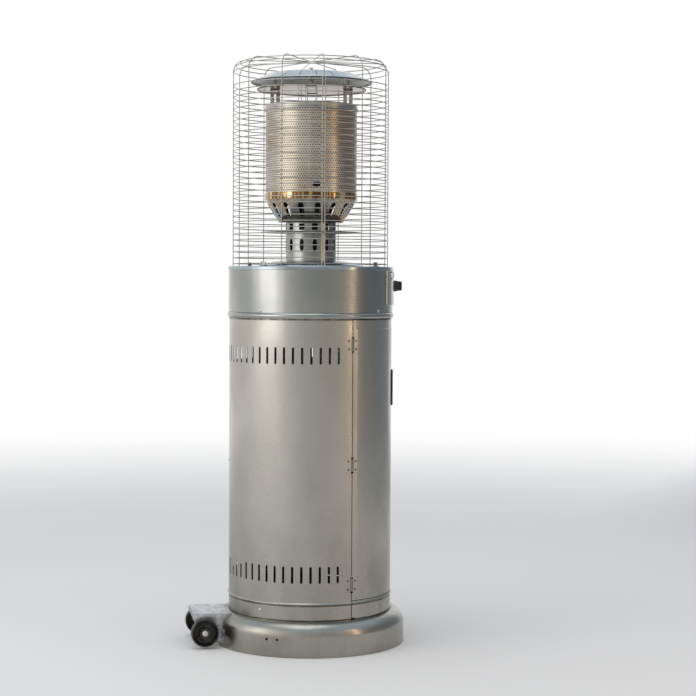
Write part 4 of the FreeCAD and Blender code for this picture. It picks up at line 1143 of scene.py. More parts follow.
# %% [markdown]
# The control panel is a curved plate in front of the drum, with an edge that is soft all round. It
# is a bent grid in front, another behind it, and a rim of quads that joins them. The front grid
# falls back towards its edge, at the ends in a quarter round and above and below row by row.

# %% Control panel

PANEL_RADIUS = HEAD_RADIUS + 3.0
PANEL_HALF = 34.6
PANEL_SOFT = 0.35
PANEL_EDGE = 0.9
PANEL_ROWS = {797.0: PANEL_EDGE, 797.6: 0.2, 799.0: 0.0, 874.5: 0.0, 876.8: 0.2, 877.5: PANEL_EDGE}


def panel_front(angle, z):
    edge = min((PANEL_HALF - abs(angle)) / PANEL_SOFT, 1.0)
    drop = PANEL_EDGE * (1.0 - math.sqrt(max(0.0, 1.0 - (1.0 - edge) ** 2)))
    return on_axis(PANEL_RADIUS - drop - PANEL_ROWS[z], FRONT + angle, z)


def panel_back(angle, z):
    return on_axis(HEAD_RADIUS + 0.02, FRONT + angle, z)


def make_panel():
    """A curved plate with softly rounded edges."""
    inner = PANEL_HALF - PANEL_SOFT
    columns = lay_lines([-PANEL_HALF, -inner, inner, PANEL_HALF], 2.4)
    rows = list(PANEL_ROWS)
    vertices, faces = bent_grid(columns, rows, panel_front)
    back_points, back_faces = bent_grid(columns, rows, panel_back)
    base, wide, last = len(vertices), len(columns), len(rows) - 1
    faces += [tuple(base + index for index in face[::-1]) for face in back_faces]
    rim = [*range(wide)] + [j * wide + wide - 1 for j in range(1, last + 1)]
    rim += [last * wide + i for i in range(wide - 2, -1, -1)] + [j * wide for j in range(last - 1, 0, -1)]
    faces += [(a, b, base + b, base + a) for a, b in zip(rim, rim[1:] + rim[:1])]
    panel = add_mesh("panel", vertices + back_points, faces)
    return dress(bore(panel, CONTROL_HOLES, *DRILL), "control_panel", degrees=30.0)


panel = make_panel()
print("the panel has", len(panel.data.polygons), "faces")

# %% [markdown]
# The top plate is spun: its rim is rolled down over the drum, and it rises by a small step and a
# shallow cone to the burner's tube. The rolled rim gives the thin bright line under the guard.

# %% Top plate


def make_head_top():
    rim = HEAD_RADIUS + 1.4
    foot = 59.8
    edge = [(rim - 1.2, 878.0), (rim, 878.6), (rim, 884.4)] + arc(rim - 2.6, 884.4, 2.6, 10.0, 90.0, 6)
    step = [(119.5, 0.0), (118.0, 0.3), (115.6, 3.2), (114.2, 3.8)]
    dome = [(100.0, 8.4), (84.0, 12.0), (70.0, 13.7), (foot, 14.0)]
    under = [(foot, 12.8), (84.0, 10.8), (115.0, 2.2), (118.0, -1.2), (rim - 1.2, -1.2)]
    rising = [(r, HEAD_TOP + lift) for r, lift in [(180.0, 0.0), (150.0, 0.0)] + step + dome + under]
    return dress(lathe("head_plate", edge + rising, 160), "head_top", degrees=26.0, finish="top_steel")


head_plate = make_head_top()
print("the top plate has", len(head_plate.data.polygons), "faces")

# %% [markdown]
# ## The burner
# Hot parts are rolled from thin stainless sheet: a tube with air holes, a cone with slots, and a
# perforated screen that glows. Tube and cone are bent grids of pierced cells, so each hole has a
# true edge with the thickness of the sheet.

# %% Burner tube and heat shield

TUBE_RADIUS = 59.4
TUBE_TOP = 990.0
TUBE_CELL = 9.0
OVAL_LOW, OVAL_HIGH = 919.0, 955.0
WINDOW_LOW, WINDOW_HIGH = 971.0, 989.0
SHIELD_RADIUS = 118.0
SHIELD_Z = 966.5


def make_burner_tube():
    per_degree = math.radians(TUBE_RADIUS)
    middles, marks = cells_round(12, TUBE_CELL)
    rows = lay_lines([885.8, OVAL_LOW], 20.0) + lay_lines([OVAL_LOW, OVAL_HIGH], 9.0)[1:]
    rows += lay_lines([WINDOW_LOW, WINDOW_HIGH], 4.5) + [TUBE_TOP]
    oval_hole = [(u / per_degree, v) for u, v in oval(5.4, 16.4)]
    window = [(u / per_degree, v) for u, v in oval(7.0, 7.5, 9.0)]
    cells = []
    for middle in middles:
        left, right = middle - TUBE_CELL, middle + TUBE_CELL
        cells += [(left, right, OVAL_LOW, OVAL_HIGH, oval_hole),
                  (left, right, WINDOW_LOW, WINDOW_HIGH, window)]
    tube = sheet("air_tube", 1.0, lambda angle, z: on_axis(TUBE_RADIUS, angle, z), marks, rows, cells=cells)
    return dress(tube, "burner_tube", finish="burner_steel")


def make_shield():
    r, z = SHIELD_RADIUS, SHIELD_Z
    edge = arc(r - 0.75, z + 0.75, 0.75, -90.0, 90.0, 6)
    upper = [(104.0, z + 1.5), (101.0, z + 1.9), (98.0, z + 1.5), (60.0, z + 1.5)]
    lower = [(60.0, z), (98.0, z), (101.0, z + 0.4), (104.0, z)]
    return dress(lathe("shield_disc", edge + upper + lower, 144), "heat_shield_disc", finish="shield_sheet")


air_tube = make_burner_tube()
shield = make_shield()
print("the burner's tube has", len(air_tube.data.polygons), "faces, the shield", len(shield.data.polygons))

# %% [markdown]
# The cone widens towards the screen and lets air in through sixteen slots. It is rolled from a fan
# of flat sheet. Its grid runs along the slant, so the slots keep their true shape on the slope. The
# band round its rim and its floor are turned.

# %% Slotted cone and its polished band

EMITTER_RADIUS = 109.0
CUP_BOTTOM = 76.0
CONE_TOP = 1044.0
CONE_CELL = 7.0
CONE_SLOT = (12.0, 56.0)


def make_cup():
    slant = math.hypot(EMITTER_RADIUS - CUP_BOTTOM, CONE_TOP - TUBE_TOP)
    out = (EMITTER_RADIUS - CUP_BOTTOM) / slant
    up = (CONE_TOP - TUBE_TOP) / slant
    low, high = CONE_SLOT
    middles, marks = cells_round(16, CONE_CELL)
    rows = [0.0, 1.0] + lay_lines([low, high], 11.0) + [slant - 1.0, slant]
    slot = slot_hole(5.8, 18.6, 1.0 / math.radians(CUP_BOTTOM + out * (low + high) / 2.0))
    cells = [(middle - CONE_CELL, middle + CONE_CELL, low, high, slot) for middle in middles]
    cone = sheet("cone", SHEET, lambda angle, s: on_axis(CUP_BOTTOM + out * s, angle, TUBE_TOP + up * s),
                 marks, rows, cells=cells)
    band = lathe("band", [(EMITTER_RADIUS + wide, CONE_TOP + lift) for wide, lift in (
        (-1.2, -0.6), (0.4, -0.8), (0.8, 0.2), (0.9, 7.5), (0.7, 14.0), (0.2, 15.0), (-0.8, 14.8),
        (-1.2, 13.0))], 144)
    floor = lathe("cup_floor", [(22.2, TUBE_TOP), (CUP_BOTTOM - 0.4, TUBE_TOP),
                                (CUP_BOTTOM + 0.1, TUBE_TOP + 1.2), (22.2, TUBE_TOP + 1.2)], 96)
    return dress(join("cup", [cone, band, floor]), "emitter_cup", degrees=28.0, finish="heat_tinted")


cup = make_cup()
print("the cup has", len(cup.data.polygons), "faces")

# %% [markdown]
# The screen is rolled from the perforated sheet and lapped at one upright seam. Its rows of holes
# are in the material, but the arched pilot window is a pierced cell, because it is large enough to
# look through. A small hood of blued sheet shades it.

# %% Radiant screen with its pilot window

SCREEN_LOW = 1045.0
SCREEN_TOP = 1252.0
PILOT_ANGLE = 178.0
PILOT_Z = 1076.0
PILOT_HALF_WIDE = 14.0
PILOT_HALF_HIGH = 12.0
SEAM_ANGLE = 170.0
SEAM_HALF = 3.2
SEAM_OUT = 0.45


def make_screen():
    per_degree = math.radians(SCREEN_RADIUS)
    half = math.degrees(PILOT_HALF_WIDE / SCREEN_RADIUS)
    lap = math.degrees(SEAM_HALF / SCREEN_RADIUS)
    low, high = PILOT_Z - PILOT_HALF_HIGH, PILOT_Z + PILOT_HALF_HIGH
    start = PILOT_ANGLE - half
    columns = lay_lines([start + 2.0 * half * i / 4.0 for i in range(5)] + [start + 360.0], 2.9)
    rows = lay_lines([SCREEN_LOW, low], 10.0) + lay_lines([low, high], 6.0)[1:]
    rows += lay_lines([high, SCREEN_TOP], 24.0)[1:]
    arch = [(max(-8.5, min(8.5, u * 1.1)), max(-5.0, v)) for u, v in oval(8.5, 6.5, 2.6)]
    window = (start, PILOT_ANGLE + half, low, high, [(u / per_degree, v) for u, v in arch])

    def on_seam(angle, z):
        fold = SEAM_OUT * max(0.0, 1.0 - abs(angle - SEAM_ANGLE) / lap) ** 0.3
        return on_axis(SCREEN_RADIUS + fold, angle, z)

    skin = sheet("screen_skin", 1.0, lambda angle, z: on_axis(SCREEN_RADIUS, angle, z), columns, rows,
                 cells=[window])
    strip = sheet("seam_strip", 0.6, on_seam, [SEAM_ANGLE + lap * (i / 4.0 - 1.0) for i in range(9)],
                  lay_lines([CONE_TOP + 16.0, SCREEN_TOP - 0.5], 40.0))
    return dress(join("screen", [skin, strip]), "emitter_screen", degrees=34.0)


def on_lid(angle, down):
    """A point of the hood over the pilot window, which curls outwards on its way down."""
    out = SCREEN_RADIUS + 0.1 + 1.6 * math.sin(min(1.0, down) * math.pi / 2.0)
    return on_axis(out, PILOT_ANGLE + angle, PILOT_Z + 8.4 - 3.0 * down)


def make_window_lid():
    half = math.degrees(8.8 / SCREEN_RADIUS)
    hood = sheet("window_lid", 0.5, on_lid, lay_lines([-half, half], 1.0), [0.0, 0.3, 0.7, 1.0])
    return dress(hood, slot="head_steel", degrees=40.0, finish="blued_steel")


screen = make_screen()
window_lid = make_window_lid()
print("the screen has", len(screen.data.polygons), "faces, the hood", len(window_lid.data.polygons))

# %% [markdown]
# ## Lid and reflectors
# The lid and the two dishes above it are spun on a lathe in life, so they are turned here too.
# Their rolled rims are small arcs: a rim without a radius would read as a paper cut-out, because
# it would catch no light.

# %% Cap and dishes

LOWER_DISH_Z = 1304.0
UPPER_RIM_Z = 1320.0
DISH_CROWN = 98.0
DISH_TOP = 1340.0


def make_cap():
    r, z = EMITTER_RADIUS, SCREEN_TOP
    outline = [(0.0, z), (r + 2.2, z)] + arc(r + 2.2, z + 0.8, 0.8, -90.0, 0.0, 3) + [(r + 3.0, z + 3.2)]
    outline += arc(r + 2.2, z + 3.2, 0.8, 30.0, 90.0, 3) + [(r + 0.6, z + 4.2), (r, z + 5.0), (r, z + 12.6)]
    outline += arc(r - 2.4, z + 12.6, 2.4, 15.0, 90.0, 5)
    outline += [(r - 8.0, z + 14.6), (60.0, z + 14.8), (0.0, z + 15.0)]
    return dress(lathe("cap", outline, 144), "emitter_cap")


def make_lower_dish():
    r, z = LOWER_DISH_RADIUS, LOWER_DISH_Z
    outline = [(0.0, z - 1.0), (r - 24.0, z - 1.0), (r - 5.0, z - 0.4), (r - 3.2, z - 1.6)]
    outline += arc(r - 1.9, z - 0.6, 1.9, -110.0, 80.0, 9)
    outline += [(r - 3.4, z + 1.5), (r - 6.0, z + 1.3), (r - 24.0, z + 0.4), (0.0, z + 0.4)]
    return dress(lathe("lower_dish", outline, 160), "lower_reflector", finish="lower_dish_steel")


def make_upper_dish():
    r, z, top = UPPER_DISH_RADIUS, UPPER_RIM_Z, DISH_TOP
    flat = DISH_CROWN - 40.0
    flank = [(r - 4.0, z + 2.4), (r - 13.0, z + 6.4), (r - 24.0, z + 11.4), (DISH_CROWN + 10.0, top - 3.2),
             (DISH_CROWN + 4.0, top - 0.9), (DISH_CROWN - 2.0, top)]
    inside = [(r - 4.0, z - 1.0)] + [(a - 0.3, b - SHEET) for a, b in flank]
    outline = [(0.0, top), (flat, top)] + flank[::-1] + arc(r - 1.9, z - 0.4, 1.9, 100.0, -100.0, 10)
    outline += inside + [(flat, top - SHEET), (0.0, top - SHEET)]
    return dress(lathe("upper_dish", outline, 160), "upper_reflector", degrees=24.0,
                 finish="upper_dish_steel")


spun = [make_cap(), make_lower_dish(), make_upper_dish()]
print("the lid and the dishes have", [len(piece.data.polygons) for piece in spun], "faces")

# %% [markdown]
# Four bent straps carry the dishes, studs keep them apart, and an acorn nut closes each stud on
# top. The straps keep their CAD shape with eased edges. Studs and nuts are turned: the same outline
# at four points of one circle, joined into one piece.

# %% Straps, studs and acorn nuts between the dishes

BRACKET_CIRCLE = 86.0
BRACKET_TURN = 80.0
STUD_LOW = 1304.4
STUD_HIGH = 1338.8
STUD_POINTS = [on_axis(BRACKET_CIRCLE, BRACKET_TURN + 90.0 * i, 0.0) for i in range(4)]


def turned_at(name, points, steps, *outlines):
    """Turn the same outlines at each of several points and join them."""
    pieces = [shift(lathe(name, outline, steps), point) for point in points for outline in outlines]
    return join(name, pieces)


straps = eased_node("reflector_brackets", 0.5)
low_collar = [(0.0, 0.0), (4.6, 0.0), (5.0, 0.4), (5.0, 2.0), (3.5, 2.4)]
stud = [(r, STUD_LOW + z) for r, z in low_collar] + [(r, STUD_HIGH - z) for r, z in low_collar[::-1]]
studs = dress(turned_at("studs", STUD_POINTS, 24, stud), "reflector_spacers")
acorn = [(r, DISH_TOP + z) for r, z in (
    (0.0, 0.0), (5.6, 0.0), (5.9, 0.4), (5.9, 0.8), (5.3, 1.0), (5.3, 3.4))]
acorn += arc(0.0, DISH_TOP + 3.4, 4.6, 0.0, 90.0, 6, 3.2)
nuts = dress(turned_at("acorn_nuts", STUD_POINTS, 18, acorn), "reflector_nuts")
print("straps, studs and nuts have", [len(piece.data.polygons) for piece in (straps, studs, nuts)], "faces")

# %% [markdown]
# ## The wire guard
# The guard is welded from bright wire: rings, uprights, and a domed grille. Its wires differ only
# in their path, so one node tree does them all. It takes paths as a mesh of edges, thickens them
# to round wire, and repeats the result by a turn and a rise. Rings repeat by their rise, uprights
# by their turn.

# %% Opening, closing and running a node tree


def open_tree(name, sockets):
    """A Geometry Nodes tree with named inputs, as (tree, graph, group input)."""
    tree = bpy.data.node_groups.new(name, "GeometryNodeTree")
    tree.interface.new_socket("Result", in_out="OUTPUT", socket_type="NodeSocketGeometry")
    for label, kind in sockets:
        tree.interface.new_socket(label, in_out="INPUT", socket_type="NodeSocket" + kind)
    graph = Graph(tree)
    return tree, graph, graph.add("NodeGroupInput")


def close_tree(graph, instances, finish):
    real = graph.add("GeometryNodeRealizeInstances", None, {0: instances}).out(0)
    painted = graph.add("GeometryNodeSetMaterial", None, {"Geometry": real, "Material": finish}).out(0)
    graph.add("NodeGroupOutput", None, {0: painted})


def run_tree(piece, tree, values):
    """Put the tree on a piece, set its inputs by name and keep the mesh that it makes."""
    modifier = piece.modifiers.new(tree.name, "NODES")
    modifier.node_group = tree
    for item in tree.interface.items_tree:
        if item.in_out == "INPUT" and item.name in values:
            modifier[item.identifier] = values[item.name]
    return freeze(piece)


tree, graph, given = open_tree("trial", [("Wire Radius", "Float")])
print("the names and identifiers are", [(item.name, item.identifier) for item in tree.interface.items_tree])
bpy.data.node_groups.remove(tree)

# %% [markdown]
# A modifier's input is set by its identifier, which run_tree looks up by its name. In the tree for
# wires, a path becomes a curve and a circle runs along it. The copies stand on a line of points, one
# rise apart, and each is turned by its number times the turn.

# %% A node tree that turns paths into repeated wires

WIRE_RADIUS = 1.1
WIRE_SIDES = 8


def make_wire_tree():
    sockets = [("Paths", "Geometry"), ("Copies", "Int"), ("Turn", "Float"), ("Rise", "Float"),
               ("Wire Radius", "Float"), ("Sides", "Int"), ("Finish", "Material")]
    tree, graph, given = open_tree("wires_along_paths", sockets)
    curve = graph.add("GeometryNodeMeshToCurve", None, {"Mesh": given.out("Paths")}).out(0)
    section = graph.add("GeometryNodeCurvePrimitiveCircle", None,
                        {"Resolution": given.out("Sides"), "Radius": given.out("Wire Radius")}).out(0)
    wire = graph.add("GeometryNodeCurveToMesh", None,
                     {"Curve": curve, "Profile Curve": section, "Fill Caps": True}).out(0)
    rise = graph.add("ShaderNodeCombineXYZ", None, {"Z": given.out("Rise")}).out(0)
    spots = graph.add("GeometryNodeMeshLine", None, {"Count": given.out("Copies"), "Offset": rise}).out(0)
    spin = graph.add("GeometryNodeInputIndex").out(0) * given.out("Turn")
    rotation = graph.add("ShaderNodeCombineXYZ", None, {"Z": spin}).out(0)
    copies = graph.add("GeometryNodeInstanceOnPoints", None,
                       {"Points": spots, "Instance": wire, "Rotation": rotation}).out(0)
    close_tree(graph, copies, given.out("Finish"))
    return tree


WIRE_TREE = make_wire_tree()


def wires(paths, copies=1, spin=0.0, rise=0.0, closed=False):
    """Wires along paths of points in metres, repeated by a spin in degrees or a rise in millimetres."""
    vertices, edges = [], []
    for path in paths:
        base = len(vertices)
        vertices += path
        edges += [(base + i, base + i + 1) for i in range(len(path) - 1)]
        if closed:
            edges.append((len(vertices) - 1, base))
    mesh = bpy.data.meshes.new("wires")
    mesh.from_pydata(vertices, edges, [])
    return run_tree(show("wires", mesh), WIRE_TREE, {
        "Copies": copies, "Turn": math.radians(spin), "Rise": rise * MM,
        "Wire Radius": WIRE_RADIUS * MM, "Sides": WIRE_SIDES, "Finish": FINISH["guard_wire"]})


print("the wire tree has", len(WIRE_TREE.nodes), "nodes")

# %% [markdown]
# The side of the guard is two half cages that meet in pairs of uprights, and the grille is a dome
# of spokes bent over rings. Rings, uprights and spokes repeat evenly, so each is one path and a
# count. The rings lie just inside the uprights, where the wires touch and are welded.

# %% Rings, uprights and the domed grille

RING_RADIUS = 182.7
UPRIGHT_RADIUS = 184.9
FIRST_RING = HEAD_TOP + 6.0
RING_STEP = 13.9
RING_COUNT = 31
SIDE_TOP = FIRST_RING + RING_STEP * (RING_COUNT - 1) + 5.0
GRILLE_TOP = 1368.9
SHOULDER = 28.9
HALVES_APART = 3.2


def ring_path(radius, z, start, end, step=4.0):
    return [on_axis(radius, angle, z) for angle in lay_lines([start, end], step)]


def upright_path(angle, aside=0.0):
    angle = angle + math.degrees(aside / UPRIGHT_RADIUS)
    return [on_axis(UPRIGHT_RADIUS, angle, z) for z in lay_lines([HEAD_TOP + 0.2, SIDE_TOP], 110.0)]


def make_guard_half(name, start, node):
    half_ring = ring_path(RING_RADIUS, FIRST_RING, start + 0.35, start + 179.65)
    rings = wires([half_ring], RING_COUNT, rise=RING_STEP)
    uprights = wires([upright_path(start + 30.0)], 5, spin=30.0)
    ends = wires([upright_path(start, HALVES_APART), upright_path(start + 180.0, -HALVES_APART)])
    return dress(join(name, [rings, uprights, ends]), node, degrees=50.0)


def make_grille():
    centre, level = UPRIGHT_RADIUS - SHOULDER, GRILLE_TOP - SHOULDER
    spoke = [(UPRIGHT_RADIUS, SIDE_TOP + 0.2)] + arc(centre, level, SHOULDER, 0.0, 90.0, 10)
    spoke += [(80.0, GRILLE_TOP), (15.0, GRILLE_TOP)]
    spokes = wires([[on_axis(r, 90.0, z) for r, z in spoke]], 12, spin=30.0)
    reach = SHOULDER - 2.0 * WIRE_RADIUS
    bends = [math.radians(lean) for lean in (8.0, 36.0, 64.0)]
    rings = [ring_path(centre + reach * math.cos(bend), level + reach * math.sin(bend), 0.0, 356.0)
             for bend in bends]
    shoulder = wires(rings, closed=True)
    hub = wires([ring_path(14.5, GRILLE_TOP, 0.0, 345.0, 15.0)], closed=True)
    return dress(join("grille", [spokes, shoulder, hub]), "guard_top", degrees=50.0)


guard_rear = make_guard_half("guard_rear_wires", 0.0, "guard_rear")
guard_front = make_guard_half("guard_front_wires", 180.0, "guard_front")
grille = make_grille()
clips = eased_node("guard_clips", 0.4, "hinge_steel")
guard = (guard_rear, guard_front, grille, clips)
print("the guard has", sum(len(piece.data.polygons) for piece in guard), "faces")

# %% [markdown]
# ## Screws and rivets
# A fastener is modelled once. A second node tree stands a copy on each point, aims it along the
# direction stored there, and spins it by a seeded random angle, because nobody lines up the
# recesses of screws.

# %% A node tree that stands fasteners on points


def make_fastener_tree():
    sockets = [("Places", "Geometry"), ("Fastener", "Object"), ("Seed", "Int"), ("Finish", "Material")]
    tree, graph, given = open_tree("fasteners_on_points", sockets)
    facing = graph.add("GeometryNodeInputNamedAttribute", {"data_type": "FLOAT_VECTOR"},
                       {"Name": "facing"}).out("Attribute")
    aim = graph.add("FunctionNodeAlignRotationToVector", {"axis": "Z"}, {"Vector": facing}).out(0)
    shape = graph.add("GeometryNodeObjectInfo", None, {"Object": given.out("Fastener")}).out("Geometry")
    copies = graph.add("GeometryNodeInstanceOnPoints", None,
                       {"Points": given.out("Places"), "Instance": shape, "Rotation": aim}).out(0)
    spin = graph.add("FunctionNodeRandomValue", {"data_type": "FLOAT"},
                     {"Min": 0.0, "Max": TAU, "Seed": given.out("Seed")}).out("Value")
    rotation = graph.add("ShaderNodeCombineXYZ", None, {"Z": spin}).out(0)
    turned = graph.add("GeometryNodeRotateInstances", None,
                       {"Instances": copies, "Rotation": rotation}).out(0)
    close_tree(graph, turned, given.out("Finish"))
    return tree


FASTENER_TREE = make_fastener_tree()


def fasteners(name, shape, places, node, seed, finish, body="heater"):
    """Stand the shape on places of (radius, angle, z), facing away from the axis."""
    mesh = bpy.data.meshes.new(name)
    mesh.from_pydata([on_axis(*place) for place in places], [], [])
    facing = mesh.attributes.new("facing", "FLOAT_VECTOR", "POINT")
    for entry, (radius, angle, z) in zip(facing.data, places):
        entry.vector = (math.cos(math.radians(angle)), math.sin(math.radians(angle)), 0.0)
    piece = run_tree(show(name, mesh), FASTENER_TREE,
                     {"Fastener": shape, "Seed": seed, "Finish": FINISH[finish]})
    return dress(piece, node, body, degrees=40.0, finish=finish)


def domed_head(name, radius, height, recess=0.0):
    """A low domed head with a cross recess, or a plain rivet where recess is zero."""
    dome = arc(0.0, 0.0, radius * 0.97, 10.0, 90.0, 7, height)
    head = lathe(name, [(0.0, -0.3), (radius, -0.3), (radius, height * 0.12)] + dome, 28)
    half_thick = recess * 0.17
    for degrees in (0.0, 90.0) if recess else ():
        arm = loft("arm", [[metres(x, y, z) for x, y in (
            (-long, -half_thick), (long, -half_thick), (long, half_thick), (-long, half_thick))]
            for z, long in ((height * 0.35, 0.55 * recess), (height + 1.0, 1.1 * recess))], True)
        cut(head, turn(arm, degrees, "Z"))
    return head


print("the fastener tree has", len(FASTENER_TREE.nodes), "nodes")

# %% [markdown]
# Screws hold the cabinet, the head and the wheel bracket, and domed rivets hold the hinges. The
# cross recess is cut with a Boolean once, in the model that is then repeated. The rivets of the
# door's leaves are a piece of their own, because they swing with the door.

# %% Screws and rivets in their places

CORNERS = (-135.0, -45.0, 45.0, 135.0)
small_screw = domed_head("small_screw", 3.6, 2.1, 1.9)
large_screw = domed_head("large_screw", 5.0, 2.9, 2.6)
rivet_head = domed_head("rivet_head", 2.4, 1.1)
screw_places = [(CABINET_RADIUS, angle, 98.0) for angle in CORNERS]
screw_places += [(HEAD_RADIUS, angle, 784.5) for angle in CORNERS] + [(CABINET_RADIUS, 90.0, 432.0)]
flange_places = [(225.65, angle, z) for angle in (90.0 - 17.75, 90.0 + 17.75) for z in (20.0, 36.0)]
rivet_levels = either_side(HINGE_LEVELS, 9.6)
fixed_places = [(CABINET_RADIUS, HINGE_ANGLE - 3.1, z) for z in rivet_levels]
moving_places = [(CABINET_RADIUS - 0.35, HINGE_ANGLE + 2.7, z) for z in rivet_levels]
fasteners("cabinet_screws", small_screw, screw_places, "housing_screws", 3, "zinc_steel")
fasteners("flange_screws", large_screw, flange_places, "bracket_screws", 5, "zinc_steel")
fasteners("fixed_rivets", rivet_head, fixed_places, "shell_rivets", 7, "dark_rivet")
fasteners("moving_rivets", rivet_head, moving_places, "door_rivets", 9, "dark_rivet", "door")
for shape in (small_screw, large_screw, rivet_head):
    bpy.data.objects.remove(shape)
print("placed", len(screw_places + flange_places), "screws and", len(fixed_places + moving_places), "rivets")

# %% [markdown]
# ## Hinges
# Three butt hinges sit in notches of the two sheets. Each has rolled knuckles on a pin, and a
# leaf behind each sheet. The knuckles of one leaf go with the door, the others with the cabinet.

# %% Knuckles, leaves and pins

PIN_CIRCLE = 190.0
PIN_POINTS = [on_axis(PIN_CIRCLE, HINGE_ANGLE, level) for level in HINGE_LEVELS]
LEAF_HALF = 14.7
LEAF_SHEET = 1.4
KNUCKLE_SPLIT = 4.9
KNUCKLE_GAP = 0.3
KNUCKLE_SIDE = 4.2
PIN = [(0.0, -14.6), (1.2, -14.6), (1.58, -14.2), (1.58, 14.2), (1.2, 14.6), (0.0, 14.6)]


def knuckle(low, high):
    return [(1.72, low + 0.3), (2.6, low), (3.0, low + 0.4),
            (3.0, high - 0.4), (2.6, high), (1.72, high - 0.3)]


def leaf(level, start, end, middle):
    """A leaf behind the sheets. middle says whether it keeps its part beside the middle knuckle."""
    near = math.degrees(KNUCKLE_SIDE / CABINET_RADIUS)
    split = KNUCKLE_SPLIT if middle else KNUCKLE_SPLIT + KNUCKLE_GAP

    def place(angle, z):
        fall = BORDER_DROP * max(0.0, 1.0 - angle * DEGREE / BORDER_WIDTH) if angle > 0.0 else 0.0
        return on_axis(CABINET_RADIUS - SHEET - 0.05 - fall, HINGE_ANGLE + angle, level + z)

    gaps = [(-near, near, -split, split)]
    if middle:
        gaps = [(-near, near, -LEAF_HALF, -split), (-near, near, split, LEAF_HALF)]
    columns = lay_lines(sorted({start, end, near if start > 0.0 else -near}), 0.7)
    return sheet("leaf", LEAF_SHEET, place, columns, [-LEAF_HALF, -split, split, LEAF_HALF], gaps)


low_side = knuckle(-LEAF_HALF, -KNUCKLE_SPLIT - KNUCKLE_GAP)
high_side = knuckle(KNUCKLE_SPLIT + KNUCKLE_GAP, LEAF_HALF)
fixed = [turned_at("fixed_knuckles", PIN_POINTS, 28, low_side, high_side)]
fixed += [leaf(level, -4.3, -0.5, False) for level in HINGE_LEVELS]
moving = [turned_at("door_knuckles", PIN_POINTS, 28, knuckle(-KNUCKLE_SPLIT, KNUCKLE_SPLIT))]
moving += [leaf(level, 0.35, 3.8, True) for level in HINGE_LEVELS]
pins = turned_at("pins", PIN_POINTS, 24, PIN)
dress(join("fixed_hinges", fixed), "hinge_fixed_leaves", finish="hinge_steel")
dress(join("door_hinges", moving), "hinge_door_leaves", "door", finish="hinge_steel")
dress(pins, "hinge_pins")
print(len(PIN_POINTS), "hinges at", HINGE_LEVELS, "mm")

# %% [markdown]
# ## Wheels
# Two moulded wheels let the heater roll when it is tipped back. Each is turned about its axle:
# a tread with rounded shoulders, a thin web set inwards, a boss, and four ribs. A folded bracket
# carries the axle. It keeps its CAD shape, and only its edges are eased.

# %% Wheels, axle and caps

AXLE = (257.0, 37.0)
WHEEL_X = 80.0
AXLE_BORE = 4.05


def along_axle(piece, x, side=1):
    """Lay a piece turned about Z along the axle, its upper end outwards."""
    return shift(turn(piece, 90.0 * side, "Y"), metres(x, *AXLE))


def rib(angle):
    outline = [(10.0, -3.0), (27.4, -3.0), (28.0, 3.6), (10.0, 7.6)]
    web = loft("rib", [[metres(r, y, z) for r, z in outline] for y in (-1.0, 1.0)], True)
    return turn(ease_edges(web, 0.4, 30.0), angle, "Z")


def make_wheel(name, side, node):
    grooves = [(32.0, 4.0), (31.5, 3.4), (31.5, 2.6), (32.0, 2.0)]
    grooves += [(r, -z) for r, z in grooves[::-1]]
    tread = arc(29.4, 7.4, 2.6, 90.0, 0.0, 5) + grooves + arc(29.4, -7.4, 2.6, 0.0, -90.0, 5)
    back = [(28.5, -10.0), (27.4, -6.4), (26.8, -6.0), (11.6, -6.0), (11.0, -6.6), (11.0, -9.6),
            (10.6, -10.0)]
    front = [(11.4, 8.6), (11.8, -1.9), (12.4, -2.5), (25.2, -2.5), (26.0, -1.9), (28.4, 9.4)]
    outline = [(AXLE_BORE, 9.0), (AXLE_BORE, -10.0)] + back[::-1] + tread[::-1] + front[::-1] + [(10.8, 9.0)]
    wheel = join(name, [lathe(name, outline, 96)] + [rib(35.0 + 90.0 * i) for i in range(4)])
    return dress(along_axle(wheel, side * WHEEL_X, side), node, node, degrees=34.0)


def mirrored_pair(name, outline, x):
    return join(name, [along_axle(lathe(name, outline, 48), side * x, side) for side in (-1, 1)])


wheels = [make_wheel("left_wheel", -1, "wheel_left"), make_wheel("right_wheel", 1, "wheel_right")]
shaft_line = [(0.0, -89.0), (3.4, -89.0), (4.0, -88.4), (4.0, 88.4), (3.4, 89.0), (0.0, 89.0)]
dress(along_axle(lathe("shaft", shaft_line, 40), 0.0), "wheel_axle")
sleeve_line = [(4.2, 0.1), (6.1, 0.1), (6.5, 0.5), (6.5, 7.1), (6.1, 7.5), (4.2, 7.5)]
dress(mirrored_pair("axle_sleeves", sleeve_line, 62.0), "axle_spacers")
cap_line = [(0.0, 0.05), (6.6, 0.05), (7.0, 0.4), (7.0, 1.8)] + arc(3.4, 1.8, 3.6, 10.0, 90.0, 6, 2.3)
dress(mirrored_pair("hub_caps", cap_line + [(0.0, 4.15)], 89.3), "axle_caps")
carrier = eased_node("wheel_bracket", 0.5)
print("the wheels and their bracket have",
      [len(piece.data.polygons) for piece in (*wheels, carrier)], "faces")

# %% [markdown]
# ## Knob and igniter
# The knob is a moulding with a fluted skirt and a bar across it to grip. Both are lofted: the
# skirt's loops ripple with the angle, the bar's are squarish ovals. The igniter is a plated push
# button beside it, turned and laid along its ray.

# %% Control knob and igniter button

